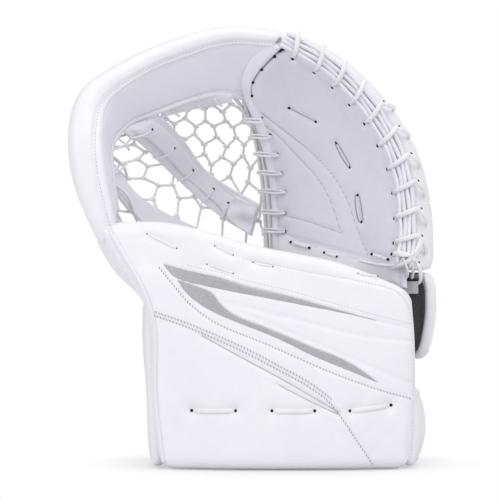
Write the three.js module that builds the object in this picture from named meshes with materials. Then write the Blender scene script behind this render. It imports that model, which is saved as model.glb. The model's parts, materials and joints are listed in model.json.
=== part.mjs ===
// A left-hand ice hockey goalie's catch glove, fingers up, with its catching side towards -Y.
// Millimetres, +Z up, +X towards the fingers' edge. The origin is the middle of the cuff's flat
// bottom end. Padded leather pieces are sheets of one thickness, lofted over a few rails.
import * as THREE from "three";

// ---- Driving dimensions ----
const CUFF_WIDTH = 203; // 8 inches, the widest cuff that the rules allow
const CUFF_HALF = CUFF_WIDTH / 2;
const CUFF_FRONT = -78; // the cuff board's front face
const CUFF_THICK = 17;
const CUFF_EDGE_CURVE = 9; // how far the board's side edges curl back
const WING_THICK = 8;
const HEEL_WING_TOP = 62;
const SHELL_THICK = 9; // foam and leather of the thumb and finger shells
const WALL_THICK = 6;
const PALM_THICK = 4.5;
const LINER_THICK = 2.5;
const STIFFENER_THICK = 1.8; // moulded plastic plates behind the foam
const STRAP_THICK = 2.6;
const NET_THICK = 3;
const GAP = 0.35; // between pieces that touch
const LAYER_GAP = 0.8; // between layers that follow one curved surface
const LACE_RADIUS = 1.7;

// ---- Helpers ----
const vec = (x, y, z) => new THREE.Vector3(x, y, z);
const rail = (...points) => new THREE.CatmullRomCurve3(points.map((p) => vec(...p)));

// A smooth surface over several rails: u runs from the first rail to the last, v along them.
function loft(...rails) {
  return (u, v) => {
    const across = new THREE.CatmullRomCurve3(rails.map((r) => r.getPoint(v)));
    return across.getPoint(u);
  };
}

// The part of a surface between two values of u and of v.
function patch(surface, u0, u1, v0, v1) {
  return (u, v) => surface(u0 + (u1 - u0) * u, v0 + (v1 - v0) * v);
}

function normalOf(surface, u, v) {
  const step = 1e-3;
  const clamp = (t) => Math.min(1, Math.max(0, t));
  const alongU = surface(clamp(u + step), v).sub(surface(clamp(u - step), v));
  const alongV = surface(u, clamp(v + step)).sub(surface(u, clamp(v - step)));
  return alongU.cross(alongV).normalize();
}

// A closed solid from offset `from` to offset `to` of a surface, along its normal.
function sheet(surface, columns, rows, from, to) {
  const positions = [];
  for (const offset of [from, to]) {
    for (let j = 0; j <= rows; j++) {
      for (let i = 0; i <= columns; i++) {
        const u = i / columns;
        const v = j / rows;
        const base = surface(u, v);
        const p = base.clone().addScaledVector(normalOf(surface, u, v), offset);
        if (Math.abs(base.z) < 1e-6) p.z = 0; // a piece that starts at the base keeps a flat end
        positions.push(p.x, p.y, p.z);
      }
    }
  }
  const at = (side, i, j) => side * (columns + 1) * (rows + 1) + j * (columns + 1) + i;
  const index = [];
  const quad = (a, b, c, d) => index.push(a, b, c, a, c, d);
  for (let j = 0; j < rows; j++) {
    for (let i = 0; i < columns; i++) {
      quad(at(1, i, j), at(1, i + 1, j), at(1, i + 1, j + 1), at(1, i, j + 1));
      quad(at(0, i, j + 1), at(0, i + 1, j + 1), at(0, i + 1, j), at(0, i, j));
    }
  }
  for (let i = 0; i < columns; i++) {
    quad(at(0, i, 0), at(0, i + 1, 0), at(1, i + 1, 0), at(1, i, 0));
    quad(at(1, i, rows), at(1, i + 1, rows), at(0, i + 1, rows), at(0, i, rows));
  }
  for (let j = 0; j < rows; j++) {
    quad(at(1, 0, j), at(1, 0, j + 1), at(0, 0, j + 1), at(0, 0, j));
    quad(at(0, columns, j), at(0, columns, j + 1), at(1, columns, j + 1), at(1, columns, j));
  }
  const geometry = new THREE.BufferGeometry();
  geometry.setAttribute("position", new THREE.Float32BufferAttribute(positions, 3));
  geometry.setIndex(to > from ? index : index.reverse());
  return geometry;
}

// A cord or roll of an elliptical section along a curve.
function tube(curve, radius, steps, sides = 8, flatten = 1) {
  const section = new THREE.Shape();
  for (let k = 0; k < sides; k++) {
    const a = (2 * Math.PI * k) / sides;
    const point = [radius * Math.cos(a), radius * flatten * Math.sin(a)];
    if (k === 0) section.moveTo(...point);
    else section.lineTo(...point);
  }
  section.closePath();
  return new THREE.ExtrudeGeometry(section, { steps, extrudePath: curve });
}

const FINISHES = {
  leather_white: { color: 0xf4f4f6, roughness: 0.45, metalness: 0 },
  leather_palm: { color: 0xd6d4de, roughness: 0.6, metalness: 0 },
  insert_silver: { color: 0xb4b4b8, roughness: 0.4, metalness: 0.3 },
  lace_white: { color: 0xf2f2f2, roughness: 0.8, metalness: 0 },
  lining_black: { color: 0x2c2d31, roughness: 0.9, metalness: 0 },
  webbing_white: { color: 0xe6e6ea, roughness: 0.85, metalness: 0 },
  hook_grey: { color: 0x8a8a90, roughness: 0.95, metalness: 0 },
  plastic_white: { color: 0xe9e9ec, roughness: 0.35, metalness: 0 },
};
const MATERIALS = Object.fromEntries(
  Object.entries(FINISHES).map(([name, look]) => [name, new THREE.MeshStandardMaterial(look)]),
);

const glove = new THREE.Group();
const cuffThumb = new THREE.Group();
const fingers = new THREE.Group();
const wristStrap = new THREE.Group();
const handStrap = new THREE.Group();
fingers.add(handStrap);
fingers.name = "fingers";
glove.add(cuffThumb, fingers, wristStrap);

function add(group, name, geometry, finish) {
  const mesh = new THREE.Mesh(geometry, MATERIALS[finish]);
  mesh.name = name;
  group.add(mesh);
}

// ---- Cuff: a padded board in front of the wrist, with a wing down each side ----
const Y0 = CUFF_FRONT;
const CURL = Y0 + CUFF_EDGE_CURVE;
const cuffSurface = loft(
  rail([-CUFF_HALF + 7, CURL, 0], [-50, Y0 + 2, 0], [0, Y0, 0], [50, Y0 + 2, 0], [CUFF_HALF - 5, CURL, 0]),
  rail([-CUFF_HALF, CURL, 55], [-50, Y0, 60], [0, Y0 - 2, 60], [50, Y0, 58], [CUFF_HALF, CURL, 52]),
  rail([-CUFF_HALF - 3, CURL, 120], [-52, Y0, 118], [0, Y0, 112], [50, Y0, 108], [CUFF_HALF, CURL, 98]),
  rail([-143, -52, 186], [-84, Y0 + 8, 184], [-16, Y0 + 6, 169], [46, Y0 + 5, 156], [CUFF_HALF - 3, CURL + 2, 134]),
);
add(cuffThumb, "cuff_pad", sheet(cuffSurface, 8, 12, 0, CUFF_THICK), "leather_white");
const cuffPatch = (u0, u1, v0, v1) => patch(cuffSurface, u0, u1, v0, v1);
const STIFFENER_BACK = CUFF_THICK + LAYER_GAP + STIFFENER_THICK;
add(cuffThumb, "cuff_stiffener", sheet(cuffPatch(0.125, 0.625, 2 / 12, 10 / 12), 4, 8, CUFF_THICK + LAYER_GAP, STIFFENER_BACK), "plastic_white");
add(cuffThumb, "cuff_liner", sheet(cuffPatch(0.125, 0.625, 2 / 12, 10 / 12), 4, 8, STIFFENER_BACK + LAYER_GAP, STIFFENER_BACK + 5), "lining_black");

// A strip of the cuff's face between two lines, each from one (u, v) to another.
function stripOf(surface, lower, upper) {
  const mix = (a, b, t) => [a[0] + (b[0] - a[0]) * t, a[1] + (b[1] - a[1]) * t];
  return (u, v) => surface(...mix(mix(...lower, v), mix(...upper, v), u));
}
const silverUpper = stripOf(cuffSurface, [[0.855, 0.22], [0.74, 0.86]], [[0.9, 0.2], [0.77, 0.86]]);
const silverLower = stripOf(cuffSurface, [[0.74, 0.28], [0.46, 0.85]], [[0.83, 0.235], [0.485, 0.85]]);
const middlePanel = stripOf(cuffSurface, [[0.62, 0.07], [0.28, 0.8]], [[0.72, 0.2], [0.4, 0.97]]);
add(cuffThumb, "silver_insert_upper", sheet(silverUpper, 1, 8, -LAYER_GAP - 1, -LAYER_GAP), "insert_silver");
add(cuffThumb, "silver_insert_lower", sheet(silverLower, 1, 8, -LAYER_GAP - 1, -LAYER_GAP), "insert_silver");
add(cuffThumb, "cuff_diagonal_panel", sheet(middlePanel, 3, 12, -LAYER_GAP - 1.6, -LAYER_GAP), "leather_white");

// The wings wrap from the board's side edges round to the back of the wrist.
const thumbWing = loft(
  rail([-98, -50, 0], [-102, -50, 60], [-104, -44, 122]),
  rail([-101, -6, 0], [-105, -6, 60], [-108, -4, 128]),
  rail([-93, 34, 0], [-97, 34, 60], [-100, 34, 122]),
  rail([-62, 47, 0], [-64, 47, 58], [-66, 47, 108]),
);
const heelWing = loft(
  rail([100, -50, 0], [102, -50, 30], [101, -50, HEEL_WING_TOP]),
  rail([105, -6, 0], [110, -6, 28], [105, -6, HEEL_WING_TOP - 2]),
  rail([93, 34, 0], [97, 34, 28], [94, 34, HEEL_WING_TOP - 5]),
  rail([58, 47, 0], [60, 47, 28], [58, 47, HEEL_WING_TOP - 8]),
);
const thumbGusset = loft(
  rail([-104.5, -43, 124], [-118, -38, 148], [-138, -32, 180]),
  rail([-108.5, -4, 130], [-125, -4, 152], [-147, -4, 178]),
  rail([-100.5, 34, 124], [-118, 38, 150], [-136, 41, 176]),
);
add(cuffThumb, "thumb_gusset", sheet(thumbGusset, 6, 4, 0, WING_THICK), "leather_white");
add(cuffThumb, "cuff_wing_thumb", sheet(thumbWing, 8, 4, 0, WING_THICK), "leather_white");
add(cuffThumb, "cuff_wing_heel", sheet(heelWing, 8, 3, -WING_THICK, 0), "leather_white");

// ---- Thumb: a rolled perimeter shell and the wall that faces the pocket ----
const thumbBack = rail(
  [-138, 42, 186], [-150, 44, 222], [-152, 46, 262], [-145, 50, 287],
  [-114, 56, 308], [-74, 62, 322], [-42, 64, 328], [-14, 60, 328],
);
const thumbOuter = rail(
  [-149, -8, 192], [-161, -5, 226], [-165, 0, 265], [-157, 6, 292],
  [-121, 14, 316], [-77, 24, 332], [-42, 30, 339], [-8, 32, 338],
);
const thumbCrest = rail(
  [-146, -44, 200], [-157, -42, 230], [-160, -36, 264], [-151, -27, 289],
  [-117, -14, 311], [-74, -2, 328], [-42, 5, 335], [-7, 9, 334.5],
);
const thumbStitch = rail(
  [-135, -42, 205], [-139, -40, 232], [-141, -33, 258], [-136, -22, 282],
  [-110, -10, 303], [-69, 2, 320], [-42, 8, 328], [-13, 11, 327],
);
const thumbShell = loft(thumbBack, thumbOuter, thumbCrest, thumbStitch);
add(cuffThumb, "thumb_shell", sheet(thumbShell, 8, 14, -SHELL_THICK, 0), "leather_white");

const thumbInside = patch(thumbShell, 1 / 8, 3 / 8, 2 / 14, 12 / 14);
add(cuffThumb, "thumb_stiffener", sheet(thumbInside, 2, 10, -SHELL_THICK - LAYER_GAP - STIFFENER_THICK, -SHELL_THICK - LAYER_GAP), "plastic_white");

const wallTop = rail(
  [-137, -27, 204], [-141, -24, 232], [-143, -17, 259], [-137, -7, 282],
  [-110, 5, 302], [-69, 16, 317], [-46, 22, 322], [-30, 24, 320],
);
const wallMiddle = rail(
  [-132, -14, 203], [-136, -9, 230], [-139, 0, 256], [-131, 9, 276],
  [-105, 18, 290], [-68, 28, 304], [-50, 33, 309], [-37, 34, 309],
);
const wallSeam = rail(
  [-128, 0, 202], [-131, 7, 228], [-133, 17, 252], [-123, 26, 270],
  [-98, 32, 279], [-64, 40, 290], [-50, 43, 295], [-41, 44, 298],
);
const thumbWall = loft(wallTop, wallMiddle, wallSeam);
add(cuffThumb, "thumb_wall", sheet(thumbWall, 6, 14, -WALL_THICK, 0), "leather_palm");

// ---- Pocket: the net bowl, and the leather straps that lie on its catching side ----
const pocket = loft(
  rail([-124, 30, 264], [-98, 38, 276], [-66, 46, 286], [-46, 50, 291]),
  rail([-130, 20, 246], [-92, 68, 252], [-56, 86, 258], [-28, 68, 266]),
  rail([-130, 12, 224], [-90, 84, 222], [-52, 104, 222], [-20, 82, 230]),
  rail([-127, 5, 198], [-92, 56, 178], [-50, 92, 166], [-14, 94, 172]),
);
// Its rails run across, so u goes down the bowl and v from the thumb to the palm.
add(cuffThumb, "pocket_net", sheet(pocket, 12, 12, -NET_THICK, 0), "lace_white");

// A band over the pocket from one (down, across) point to another, with half-widths in the same units.
function pocketBand(start, end, halfDown, halfAcross) {
  return (u, v) => {
    const side = 2 * u - 1;
    const down = start[0] + (end[0] - start[0]) * v + halfDown * side;
    const across = start[1] + (end[1] - start[1]) * v + halfAcross * side;
    return pocket(down, across);
  };
}
const centre = pocketBand([0.13, 0.1], [0.87, 0.9], 0.085, -0.085);
const centreCover = pocketBand([0.13 + 0.74 / 14, 0.1 + 0.8 / 14], [0.87 - 0.74 / 14, 0.9 - 0.8 / 14], 0.0425, -0.0425);
const topBand = pocketBand([0.06, 0.3], [0.06, 0.98], 0.05, 0);
const lowBand = pocketBand([0.8, 0.03], [0.93, 0.62], 0.06, 0);
// Offsets are measured away from the net's catching face.
const inFront = (near, far) => [LAYER_GAP + near, LAYER_GAP + far];
add(cuffThumb, "centre_strap", sheet(centre, 2, 14, ...inFront(0, STRAP_THICK)), "leather_palm");
add(cuffThumb, "centre_strap_cover", sheet(centreCover, 1, 12, ...inFront(STRAP_THICK + 1.5 * LAYER_GAP, 2 * STRAP_THICK + 1.5 * LAYER_GAP)), "leather_palm");
add(cuffThumb, "pocket_top_strap", sheet(topBand, 1, 8, ...inFront(0, STRAP_THICK)), "leather_palm");
add(cuffThumb, "pocket_low_strap", sheet(lowBand, 1, 8, ...inFront(0, STRAP_THICK)), "leather_palm");

// ---- Fingers: the palm, the rolled rim and the shell over the back of the fingers ----
const palmEdge = rail(
  [-5, 18, 320], [-20.5, 30, 304], [-26, 44, 288], [-15, 58, 265], [-8, 72, 234], [-4, 80, 202], [-2, 82, 172],
);
const palmInner = rail(
  [-1, 18, 321], [1, 36, 305], [9, 52, 283], [19, 62, 256], [25, 68, 225], [29, 68, 198], [31, 62, 167],
);
const palmOuter = rail(
  [3, 16, 320], [21, 28, 305], [39, 40, 285], [53, 46, 258], [61, 46, 226], [65, 42, 196], [66, 36, 162],
);
const palmRim = rail(
  [7, 13, 319], [30, 14, 306], [52, 17, 286], [72, 19, 260], [86, 17, 231], [91, 12, 200], [90.5, 4, 165],
);
const palm = loft(palmEdge, palmInner, palmOuter, palmRim);
add(fingers, "palm_panel", sheet(palm, 10, 12, 0, PALM_THICK), "leather_palm");
const palmPatch = (u0, u1, v0, v1) => patch(palm, u0, u1, v0, v1);
add(fingers, "palm_liner", sheet(palmPatch(0.2, 0.8, 4 / 12, 1), 6, 8, PALM_THICK + LAYER_GAP, PALM_THICK + LAYER_GAP + LINER_THICK), "lining_black");
add(fingers, "palm_heel_band", sheet(palmPatch(0.1, 0.9, 10.4 / 12, 1), 8, 2, -LAYER_GAP - 2.2, -LAYER_GAP), "leather_palm");

const bindingOuter = rail(
  [-17, 20, 320], [-30, 30, 305], [-35, 45, 287], [-22, 58, 264], [-13, 73, 233], [-9, 81, 202], [-8, 83, 172],
);
const bindingInner = rail(
  [-11, 20.5, 317.5], [-25, 30.5, 303], [-29, 44.5, 287.5], [-16.5, 58.5, 264.5], [-9.3, 72.5, 234], [-5.3, 80.5, 202], [-3.5, 82.5, 172],
);
add(fingers, "palm_binding", sheet(loft(bindingOuter, bindingInner), 2, 12, 0, 5), "leather_palm");

const rimCentre = rail(
  [5, 12, 333], [34, 14, 317], [58, 18, 296], [79, 20, 269], [94, 18, 237], [100.5, 13, 203], [100, 4, 168], [98, -3, 154],
);
const RIM_RADIUS = 5.4;
add(fingers, "rim_roll", tube(rimCentre, RIM_RADIUS, 26, 10), "leather_white");

const shellFront = rail(
  [9, 23, 331], [39, 25, 315], [64, 29, 295], [86, 31, 268], [102, 28, 237], [108, 22, 205], [109, 14, 170], [107, 9, 153],
);
const shellSide = rail(
  [10, 40, 334], [44, 46, 317], [69, 50, 295], [91, 53, 268], [108, 52, 237], [116, 48, 205], [118, 42, 170], [117, 38, 151],
);
const shellCorner = rail(
  [14, 58, 326], [40, 70, 311], [62, 80, 291], [82, 86, 265], [96, 88, 235], [101, 86, 203], [102, 80, 170], [101, 74, 150],
);
const shellBack = rail(
  [6, 70, 319], [22, 88, 303], [38, 102, 281], [50, 110, 256], [58, 114, 228], [62, 114, 198], [62, 110, 168], [62, 103, 150],
);
const shellSpine = rail(
  [-4, 72, 312], [-6, 92, 296], [-2, 108, 276], [2, 118, 250], [4, 122, 224], [5, 122, 198], [6, 120, 170], [8, 115, 151],
);
const fingerShell = loft(shellFront, shellSide, shellCorner, shellBack, shellSpine);
add(fingers, "finger_shell", sheet(fingerShell, 12, 12, 0, SHELL_THICK), "leather_white");
const shellPatch = (u0, u1, v0, v1) => patch(fingerShell, u0, u1, v0, v1);
const SHELL_PLATE = SHELL_THICK + LAYER_GAP;
const SHELL_LINER = SHELL_PLATE + STIFFENER_THICK + LAYER_GAP;
add(fingers, "finger_stiffener", sheet(shellPatch(4 / 12, 11 / 12, 5 / 12, 1), 7, 7, SHELL_PLATE, SHELL_PLATE + STIFFENER_THICK), "plastic_white");
add(fingers, "finger_liner", sheet(shellPatch(4 / 12, 11 / 12, 5 / 12, 1), 7, 7, SHELL_LINER, SHELL_LINER + LINER_THICK), "lining_black");

// The wall beside the index finger joins the palm's pocket edge to the shell's spine.
const indexFront = rail(
  [-12, 36, 317], [-26, 44, 302], [-30, 58, 284], [-19, 72, 262], [-11, 86, 232], [-7, 94, 201], [-5, 96, 172],
);
const indexBack = rail(
  [-12, 62, 316], [-14, 84, 299], [-12, 104, 277], [-9, 116, 250], [-7, 120, 224], [-6, 120, 198], [-5, 117, 174],
);
add(fingers, "index_side_wall", sheet(loft(indexFront, indexBack), 3, 10, 0, 3), "leather_white");

// ---- Backhand: the pad over the back of the hand, open at the wrist ----
const backhand = loft(
  rail([119, 14, 148], [120, 15, 116], [114, 20, 86]),
  rail([111, 38, 147], [111, 41, 114], [107, 45, 84]),
  rail([101, 75, 147], [102, 77, 112], [98, 76, 84]),
  rail([62, 103, 147], [62, 102, 110], [60, 98, 84]),
  rail([8, 115, 148], [8, 112, 110], [6, 108, 84]),
);
add(fingers, "backhand_pad", sheet(backhand, 12, 5, 0, 8), "leather_white");
add(fingers, "backhand_liner", sheet(patch(backhand, 1 / 12, 11 / 12, 0, 1), 10, 5, 8 + LAYER_GAP, 8 + LAYER_GAP + LINER_THICK), "lining_black");

// ---- Laces: one cord through the palm's edge and round the rim, and stitches through the pads ----
const onSurface = (surface, u, v, offset) => surface(u, v).addScaledVector(normalOf(surface, u, v), offset);

// One turn of the rim lace: out of the palm, over the rolled rim and down to the shell's outer side.
function rimTurn(v) {
  const hole = onSurface(palm, 0.95, v, -LACE_RADIUS - 3.4);
  const middle = rimCentre.getPoint(v);
  const along = rimCentre.getTangent(v);
  const front = vec(0, -1, 0).projectOnPlane(along).normalize();
  const outwards = along.clone().cross(front);
  if (outwards.dot(middle.clone().sub(palm(0.9, v))) < 0) outwards.negate();
  const clear = RIM_RADIUS + LACE_RADIUS + 1.5;
  const over = [-38, -5, 28, 60, 92].map((degrees) => {
    const angle = THREE.MathUtils.degToRad(degrees);
    return middle.clone()
      .addScaledVector(front, clear * Math.cos(angle))
      .addScaledVector(outwards, clear * Math.sin(angle));
  });
  const end = onSurface(fingerShell, 0.12, v, -LACE_RADIUS - 1.2);
  return new THREE.CatmullRomCurve3([hole, ...over, end]);
}
const RIM_TURNS = 13;
for (let k = 0; k < RIM_TURNS; k++) {
  const v = 0.05 + (0.86 * k) / (RIM_TURNS - 1);
  const name = `rim_lace_${String(k + 1).padStart(2, "0")}`;
  add(fingers, name, tube(rimTurn(v), LACE_RADIUS, 8, 6), "lace_white");
}

// A stitch lies on a surface between two (u, v) points, above whatever covers it.
function stitch(surface, from, to, clear) {
  const points = [0, 0.5, 1].map((t) =>
    onSurface(surface, from[0] + (to[0] - from[0]) * t, from[1] + (to[1] - from[1]) * t, -LACE_RADIUS - clear),
  );
  return tube(new THREE.CatmullRomCurve3(points), LACE_RADIUS, 4, 6);
}
const CUFF_STITCHES = [[0.157, 0.315], [0.46, 0.615], [0.755, 0.905]];
CUFF_STITCHES.forEach(([v0, v1], k) =>
  add(cuffThumb, `cuff_lace_${k + 1}`, stitch(cuffSurface, [0.25, v0], [0.255, v1], 0.6), "lace_white"),
);
const PALM_STITCHES = [[[0.31, 0.34], [0.48, 0.42]], [[0.56, 0.52], [0.61, 0.63]], [[0.65, 0.74], [0.66, 0.85]]];
PALM_STITCHES.forEach(([from, to], k) =>
  add(fingers, `palm_lace_${k + 1}`, stitch(palm, from, to, 0.6), "lace_white"),
);
const HEEL_STITCHES = [[0.15, 0.27], [0.38, 0.49], [0.72, 0.88]];
HEEL_STITCHES.forEach(([u0, u1], k) =>
  add(fingers, `heel_lace_${k + 1}`, stitch(palm, [u0, 0.945], [u1, 0.945], 3.8), "lace_white"),
);

// ---- Straps on the back: hook-and-loop flaps, each sewn at one end ----
const wristBand = loft(
  rail([-84, 52, 26], [-40, 57, 26], [0, 59, 26], [40, 57, 26], [82, 52, 26]),
  rail([-84, 52, 52], [-40, 57, 52], [0, 59, 52], [40, 57, 52], [82, 52, 52]),
);
const WRIST_ROWS = 12;
const wristPatch = (v0, v1) => patch(wristBand, 0.1, 0.9, v0, v1);
add(wristStrap, "wrist_strap", sheet(wristBand, 1, WRIST_ROWS, 0, -STRAP_THICK), "webbing_white");
const WRIST_HOOKS = -STRAP_THICK - GAP;
add(wristStrap, "wrist_hook_patch", sheet(wristPatch(9 / 12, 11 / 12), 1, 2, WRIST_HOOKS - 1, WRIST_HOOKS), "hook_grey");
add(wristStrap, "wrist_strap_tab", sheet(wristPatch(11 / 12, 1), 1, 1, GAP, GAP + 2), "plastic_white");
add(wristStrap, "wrist_strap_keeper", sheet(wristPatch(0, 1 / 12), 1, 1, GAP, GAP + 2), "plastic_white");
add(cuffThumb, "wrist_loop_patch", sheet(patch(heelWing, 7 / 8, 1, 1 / 3, 1), 1, 2, GAP, GAP + 1), "hook_grey");

const handBand = loft(
  rail([104, 86, 125], [85, 97, 125], [62, 108, 124], [34, 116, 124], [12, 118, 124]),
  rail([104, 86, 101], [85, 97, 101], [62, 107, 100], [34, 115, 100], [12, 117, 100]),
);
const handPatch = (v0, v1) => patch(handBand, 0.1, 0.9, v0, v1);
add(handStrap, "hand_strap", sheet(handBand, 1, 12, STRAP_THICK, 2 * STRAP_THICK), "webbing_white");
add(handStrap, "hand_hook_patch", sheet(handPatch(10 / 12, 1), 1, 2, STRAP_THICK - GAP - 1, STRAP_THICK - GAP), "hook_grey");
add(handStrap, "hand_strap_tab", sheet(handPatch(11 / 12, 1), 1, 1, 2 * STRAP_THICK + GAP, 2 * STRAP_THICK + GAP + 2), "plastic_white");
add(handStrap, "hand_strap_keeper", sheet(handPatch(0, 1 / 12), 1, 1, 2 * STRAP_THICK + GAP, 2 * STRAP_THICK + GAP + 2), "plastic_white");

export default glove;
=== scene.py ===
"""A goalie's catch glove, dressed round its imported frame.

Lengths are in millimetres in the glove's sizes and rails, and in metres in the meshes, the pocket's bend
and the studio. Each padded leather piece is a sheet over a surface that is lofted over a few rails, with its
edges rolled and its seams pressed in.
"""

import json
import logging
import math
from dataclasses import dataclass, field
from enum import Enum
from typing import Callable, Sequence

import bmesh
import bpy
import numpy as np
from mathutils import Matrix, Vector

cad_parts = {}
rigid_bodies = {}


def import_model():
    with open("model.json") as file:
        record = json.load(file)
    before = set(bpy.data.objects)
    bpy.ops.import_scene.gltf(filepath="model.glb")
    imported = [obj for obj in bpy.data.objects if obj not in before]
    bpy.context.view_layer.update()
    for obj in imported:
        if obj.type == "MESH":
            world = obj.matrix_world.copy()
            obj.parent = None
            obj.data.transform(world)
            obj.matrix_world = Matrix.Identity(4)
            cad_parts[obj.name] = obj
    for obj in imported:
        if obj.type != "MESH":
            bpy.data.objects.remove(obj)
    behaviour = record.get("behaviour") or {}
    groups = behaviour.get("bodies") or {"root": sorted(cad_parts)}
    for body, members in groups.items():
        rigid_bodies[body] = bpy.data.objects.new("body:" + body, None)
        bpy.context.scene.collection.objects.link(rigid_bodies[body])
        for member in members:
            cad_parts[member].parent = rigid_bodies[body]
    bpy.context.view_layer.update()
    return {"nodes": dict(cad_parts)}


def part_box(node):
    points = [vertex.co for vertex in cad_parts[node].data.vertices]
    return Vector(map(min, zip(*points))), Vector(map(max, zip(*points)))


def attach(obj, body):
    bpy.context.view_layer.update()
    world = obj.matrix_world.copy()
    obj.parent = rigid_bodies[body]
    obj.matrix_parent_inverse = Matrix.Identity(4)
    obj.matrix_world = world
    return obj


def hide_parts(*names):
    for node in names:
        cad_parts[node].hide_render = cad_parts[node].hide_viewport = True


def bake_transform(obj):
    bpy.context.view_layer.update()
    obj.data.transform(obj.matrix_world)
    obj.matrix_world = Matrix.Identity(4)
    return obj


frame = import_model()
MM = 0.001
FORWARDS = np.array([0, -1.0, 0])
LOG = logging.getLogger("glove")
Points = Sequence[Sequence[float]]
Mesh = tuple[np.ndarray, list[tuple[int, ...]]]


class Body(Enum):
    """The rigid bodies of the frame."""

    CUFF = "cuff_thumb"
    FINGERS = "fingers"
    WRIST_STRAP = "wrist_strap"
    HAND_STRAP = "hand_strap"


# ---------------------------------------------------------------- curves and surfaces


def catmull(points: np.ndarray, where: np.ndarray) -> np.ndarray:
    """Reads a centripetal Catmull-Rom curve, or one curve for each value.

    Args:
        points: The points that the curve goes through, (K, 3), or (K, N, 3) for N curves.
        where: N values from 0 at the first point to 1 at the last.

    Returns:
        The N points, (N, 3).
    """
    count = len(where)
    if points.ndim == 2:
        points = np.repeat(points[:, None], count, axis=1)
    ends = 2 * points[0] - points[1], 2 * points[-1] - points[-2]
    points = np.concatenate([ends[0][None], points, ends[1][None]])
    place = np.clip(where, 0, 1) * (len(points) - 3)
    index = np.minimum(place.astype(int), len(points) - 4)
    t = (place - index)[:, None]
    p0, p1, p2, p3 = (points[index + k, np.arange(count)] for k in range(4))
    d0, d1, d2 = (
        np.sqrt(np.maximum(np.linalg.norm(b - a, axis=1, keepdims=True), 1e-9))
        for a, b in ((p0, p1), (p1, p2), (p2, p3))
    )
    leave = ((p1 - p0) / d0 - (p2 - p0) / (d0 + d1) + (p2 - p1) / d1) * d1
    arrive = ((p2 - p1) / d1 - (p3 - p1) / (d1 + d2) + (p3 - p2) / d2) * d1
    return (
        p1
        + leave * t
        + (3 * (p2 - p1) - 2 * leave - arrive) * t**2
        + (2 * (p1 - p2) + leave + arrive) * t**3
    )


def smooth_path(points: Points, count: int) -> np.ndarray:
    """A smooth curve through points in millimetres, as count points in metres."""
    return catmull(np.array(points, float) * MM, np.linspace(0, 1, count))


class Surface:
    """A smooth surface over (u, v), both from 0 to 1."""

    def points(self, u: np.ndarray, v: np.ndarray) -> np.ndarray:
        """The surface's points, (N, 3), in metres."""
        raise NotImplementedError

    def normals(self, u: np.ndarray, v: np.ndarray) -> np.ndarray:
        """The unit normals, along u's direction crossed with v's."""
        step = 1e-3
        low_u, high_u = np.clip(u - step, 0, 1), np.clip(u + step, 0, 1)
        low_v, high_v = np.clip(v - step, 0, 1), np.clip(v + step, 0, 1)
        along_u = self.points(high_u, v) - self.points(low_u, v)
        along_v = self.points(u, high_v) - self.points(u, low_v)
        normal = np.cross(along_u, along_v)
        return normal / np.maximum(np.linalg.norm(normal, axis=1, keepdims=True), 1e-12)

    def raised(self, u: np.ndarray, v: np.ndarray, offset: np.ndarray | float) -> np.ndarray:
        """Points at an offset in metres along the normals."""
        return self.points(u, v) + self.normals(u, v) * np.reshape(offset, (-1, 1))

    def part(self, u0: float, u1: float, v0: float, v1: float) -> "Surface":
        """The part between two values of u and two of v."""
        return Mapped(self, lambda u, v: (u0 + (u1 - u0) * u, v0 + (v1 - v0) * v))

    def lengths(self) -> tuple[float, float]:
        """The surface's mean lengths along u and along v, in metres."""
        line = np.linspace(0, 1, 25)
        across, along = [], []
        for fixed in (0.1, 0.5, 0.9):
            same = np.full_like(line, fixed)
            across.append(path_length(self.points(line, same)))
            along.append(path_length(self.points(same, line)))
        return float(np.mean(across)), float(np.mean(along))

    def find(self, seen: Points) -> np.ndarray:
        """Finds where the surface is seen at given places from the front.

        Args:
            seen: Pairs (x, z) in millimetres.

        Returns:
            One (u, v) for each pair.
        """
        target = np.array(seen, float) * MM
        line = np.linspace(0, 1, 61)
        u, v = (a.ravel() for a in np.meshgrid(line, line, indexing="ij"))
        flat = self.points(u, v)[:, [0, 2]]
        nearest = np.array([np.argmin(((flat - t) ** 2).sum(1)) for t in target])
        found = np.stack([u[nearest], v[nearest]], axis=1)
        step = 1e-3
        for _ in range(4):
            here = self.points(found[:, 0], found[:, 1])[:, [0, 2]]
            du = (self.points(found[:, 0] + step, found[:, 1])[:, [0, 2]] - here) / step
            dv = (self.points(found[:, 0], found[:, 1] + step)[:, [0, 2]] - here) / step
            size = du[:, 0] * dv[:, 1] - du[:, 1] * dv[:, 0]
            size = np.where(np.abs(size) < 1e-9, 1e-9, size)
            miss = target - here
            found[:, 0] += np.clip((miss[:, 0] * dv[:, 1] - miss[:, 1] * dv[:, 0]) / size, -0.03, 0.03)
            found[:, 1] += np.clip((du[:, 0] * miss[:, 1] - du[:, 1] * miss[:, 0]) / size, -0.03, 0.03)
            found = np.clip(found, 0, 1 - step)
        return found

    def strip(self, low: Points, high: Points) -> "Mapped":
        """The strip of the surface between two lines seen at (x, z). u crosses it and v follows it."""
        steps = np.linspace(0, 1, 40)
        edges = [self.find(self.spread(seen, 40)) for seen in (low, high)]

        def change(u: np.ndarray, v: np.ndarray) -> tuple[np.ndarray, np.ndarray]:
            """The whole surface's (u, v) for the strip's."""
            below, above = (np.stack([np.interp(v, steps, e[:, k]) for k in (0, 1)]) for e in edges)
            return tuple(below + (above - below) * u)

        return Mapped(self, change)

    @staticmethod
    def spread(seen: Points, count: int) -> np.ndarray:
        """A smooth line through (x, z) places, as count places in millimetres."""
        if len(seen) < 3:
            return np.linspace(seen[0], seen[-1], count)
        return smooth_path([(x, 0, z) for x, z in seen], count)[:, [0, 2]] / MM

    def line(self, seen: Points, offset: float = 0, count: int = 40) -> np.ndarray:
        """A smooth line on the surface through places seen at (x, z), raised by an offset in millimetres."""
        where = self.find(self.spread(seen, count))
        return self.raised(where[:, 0], where[:, 1], offset * MM)


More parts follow.
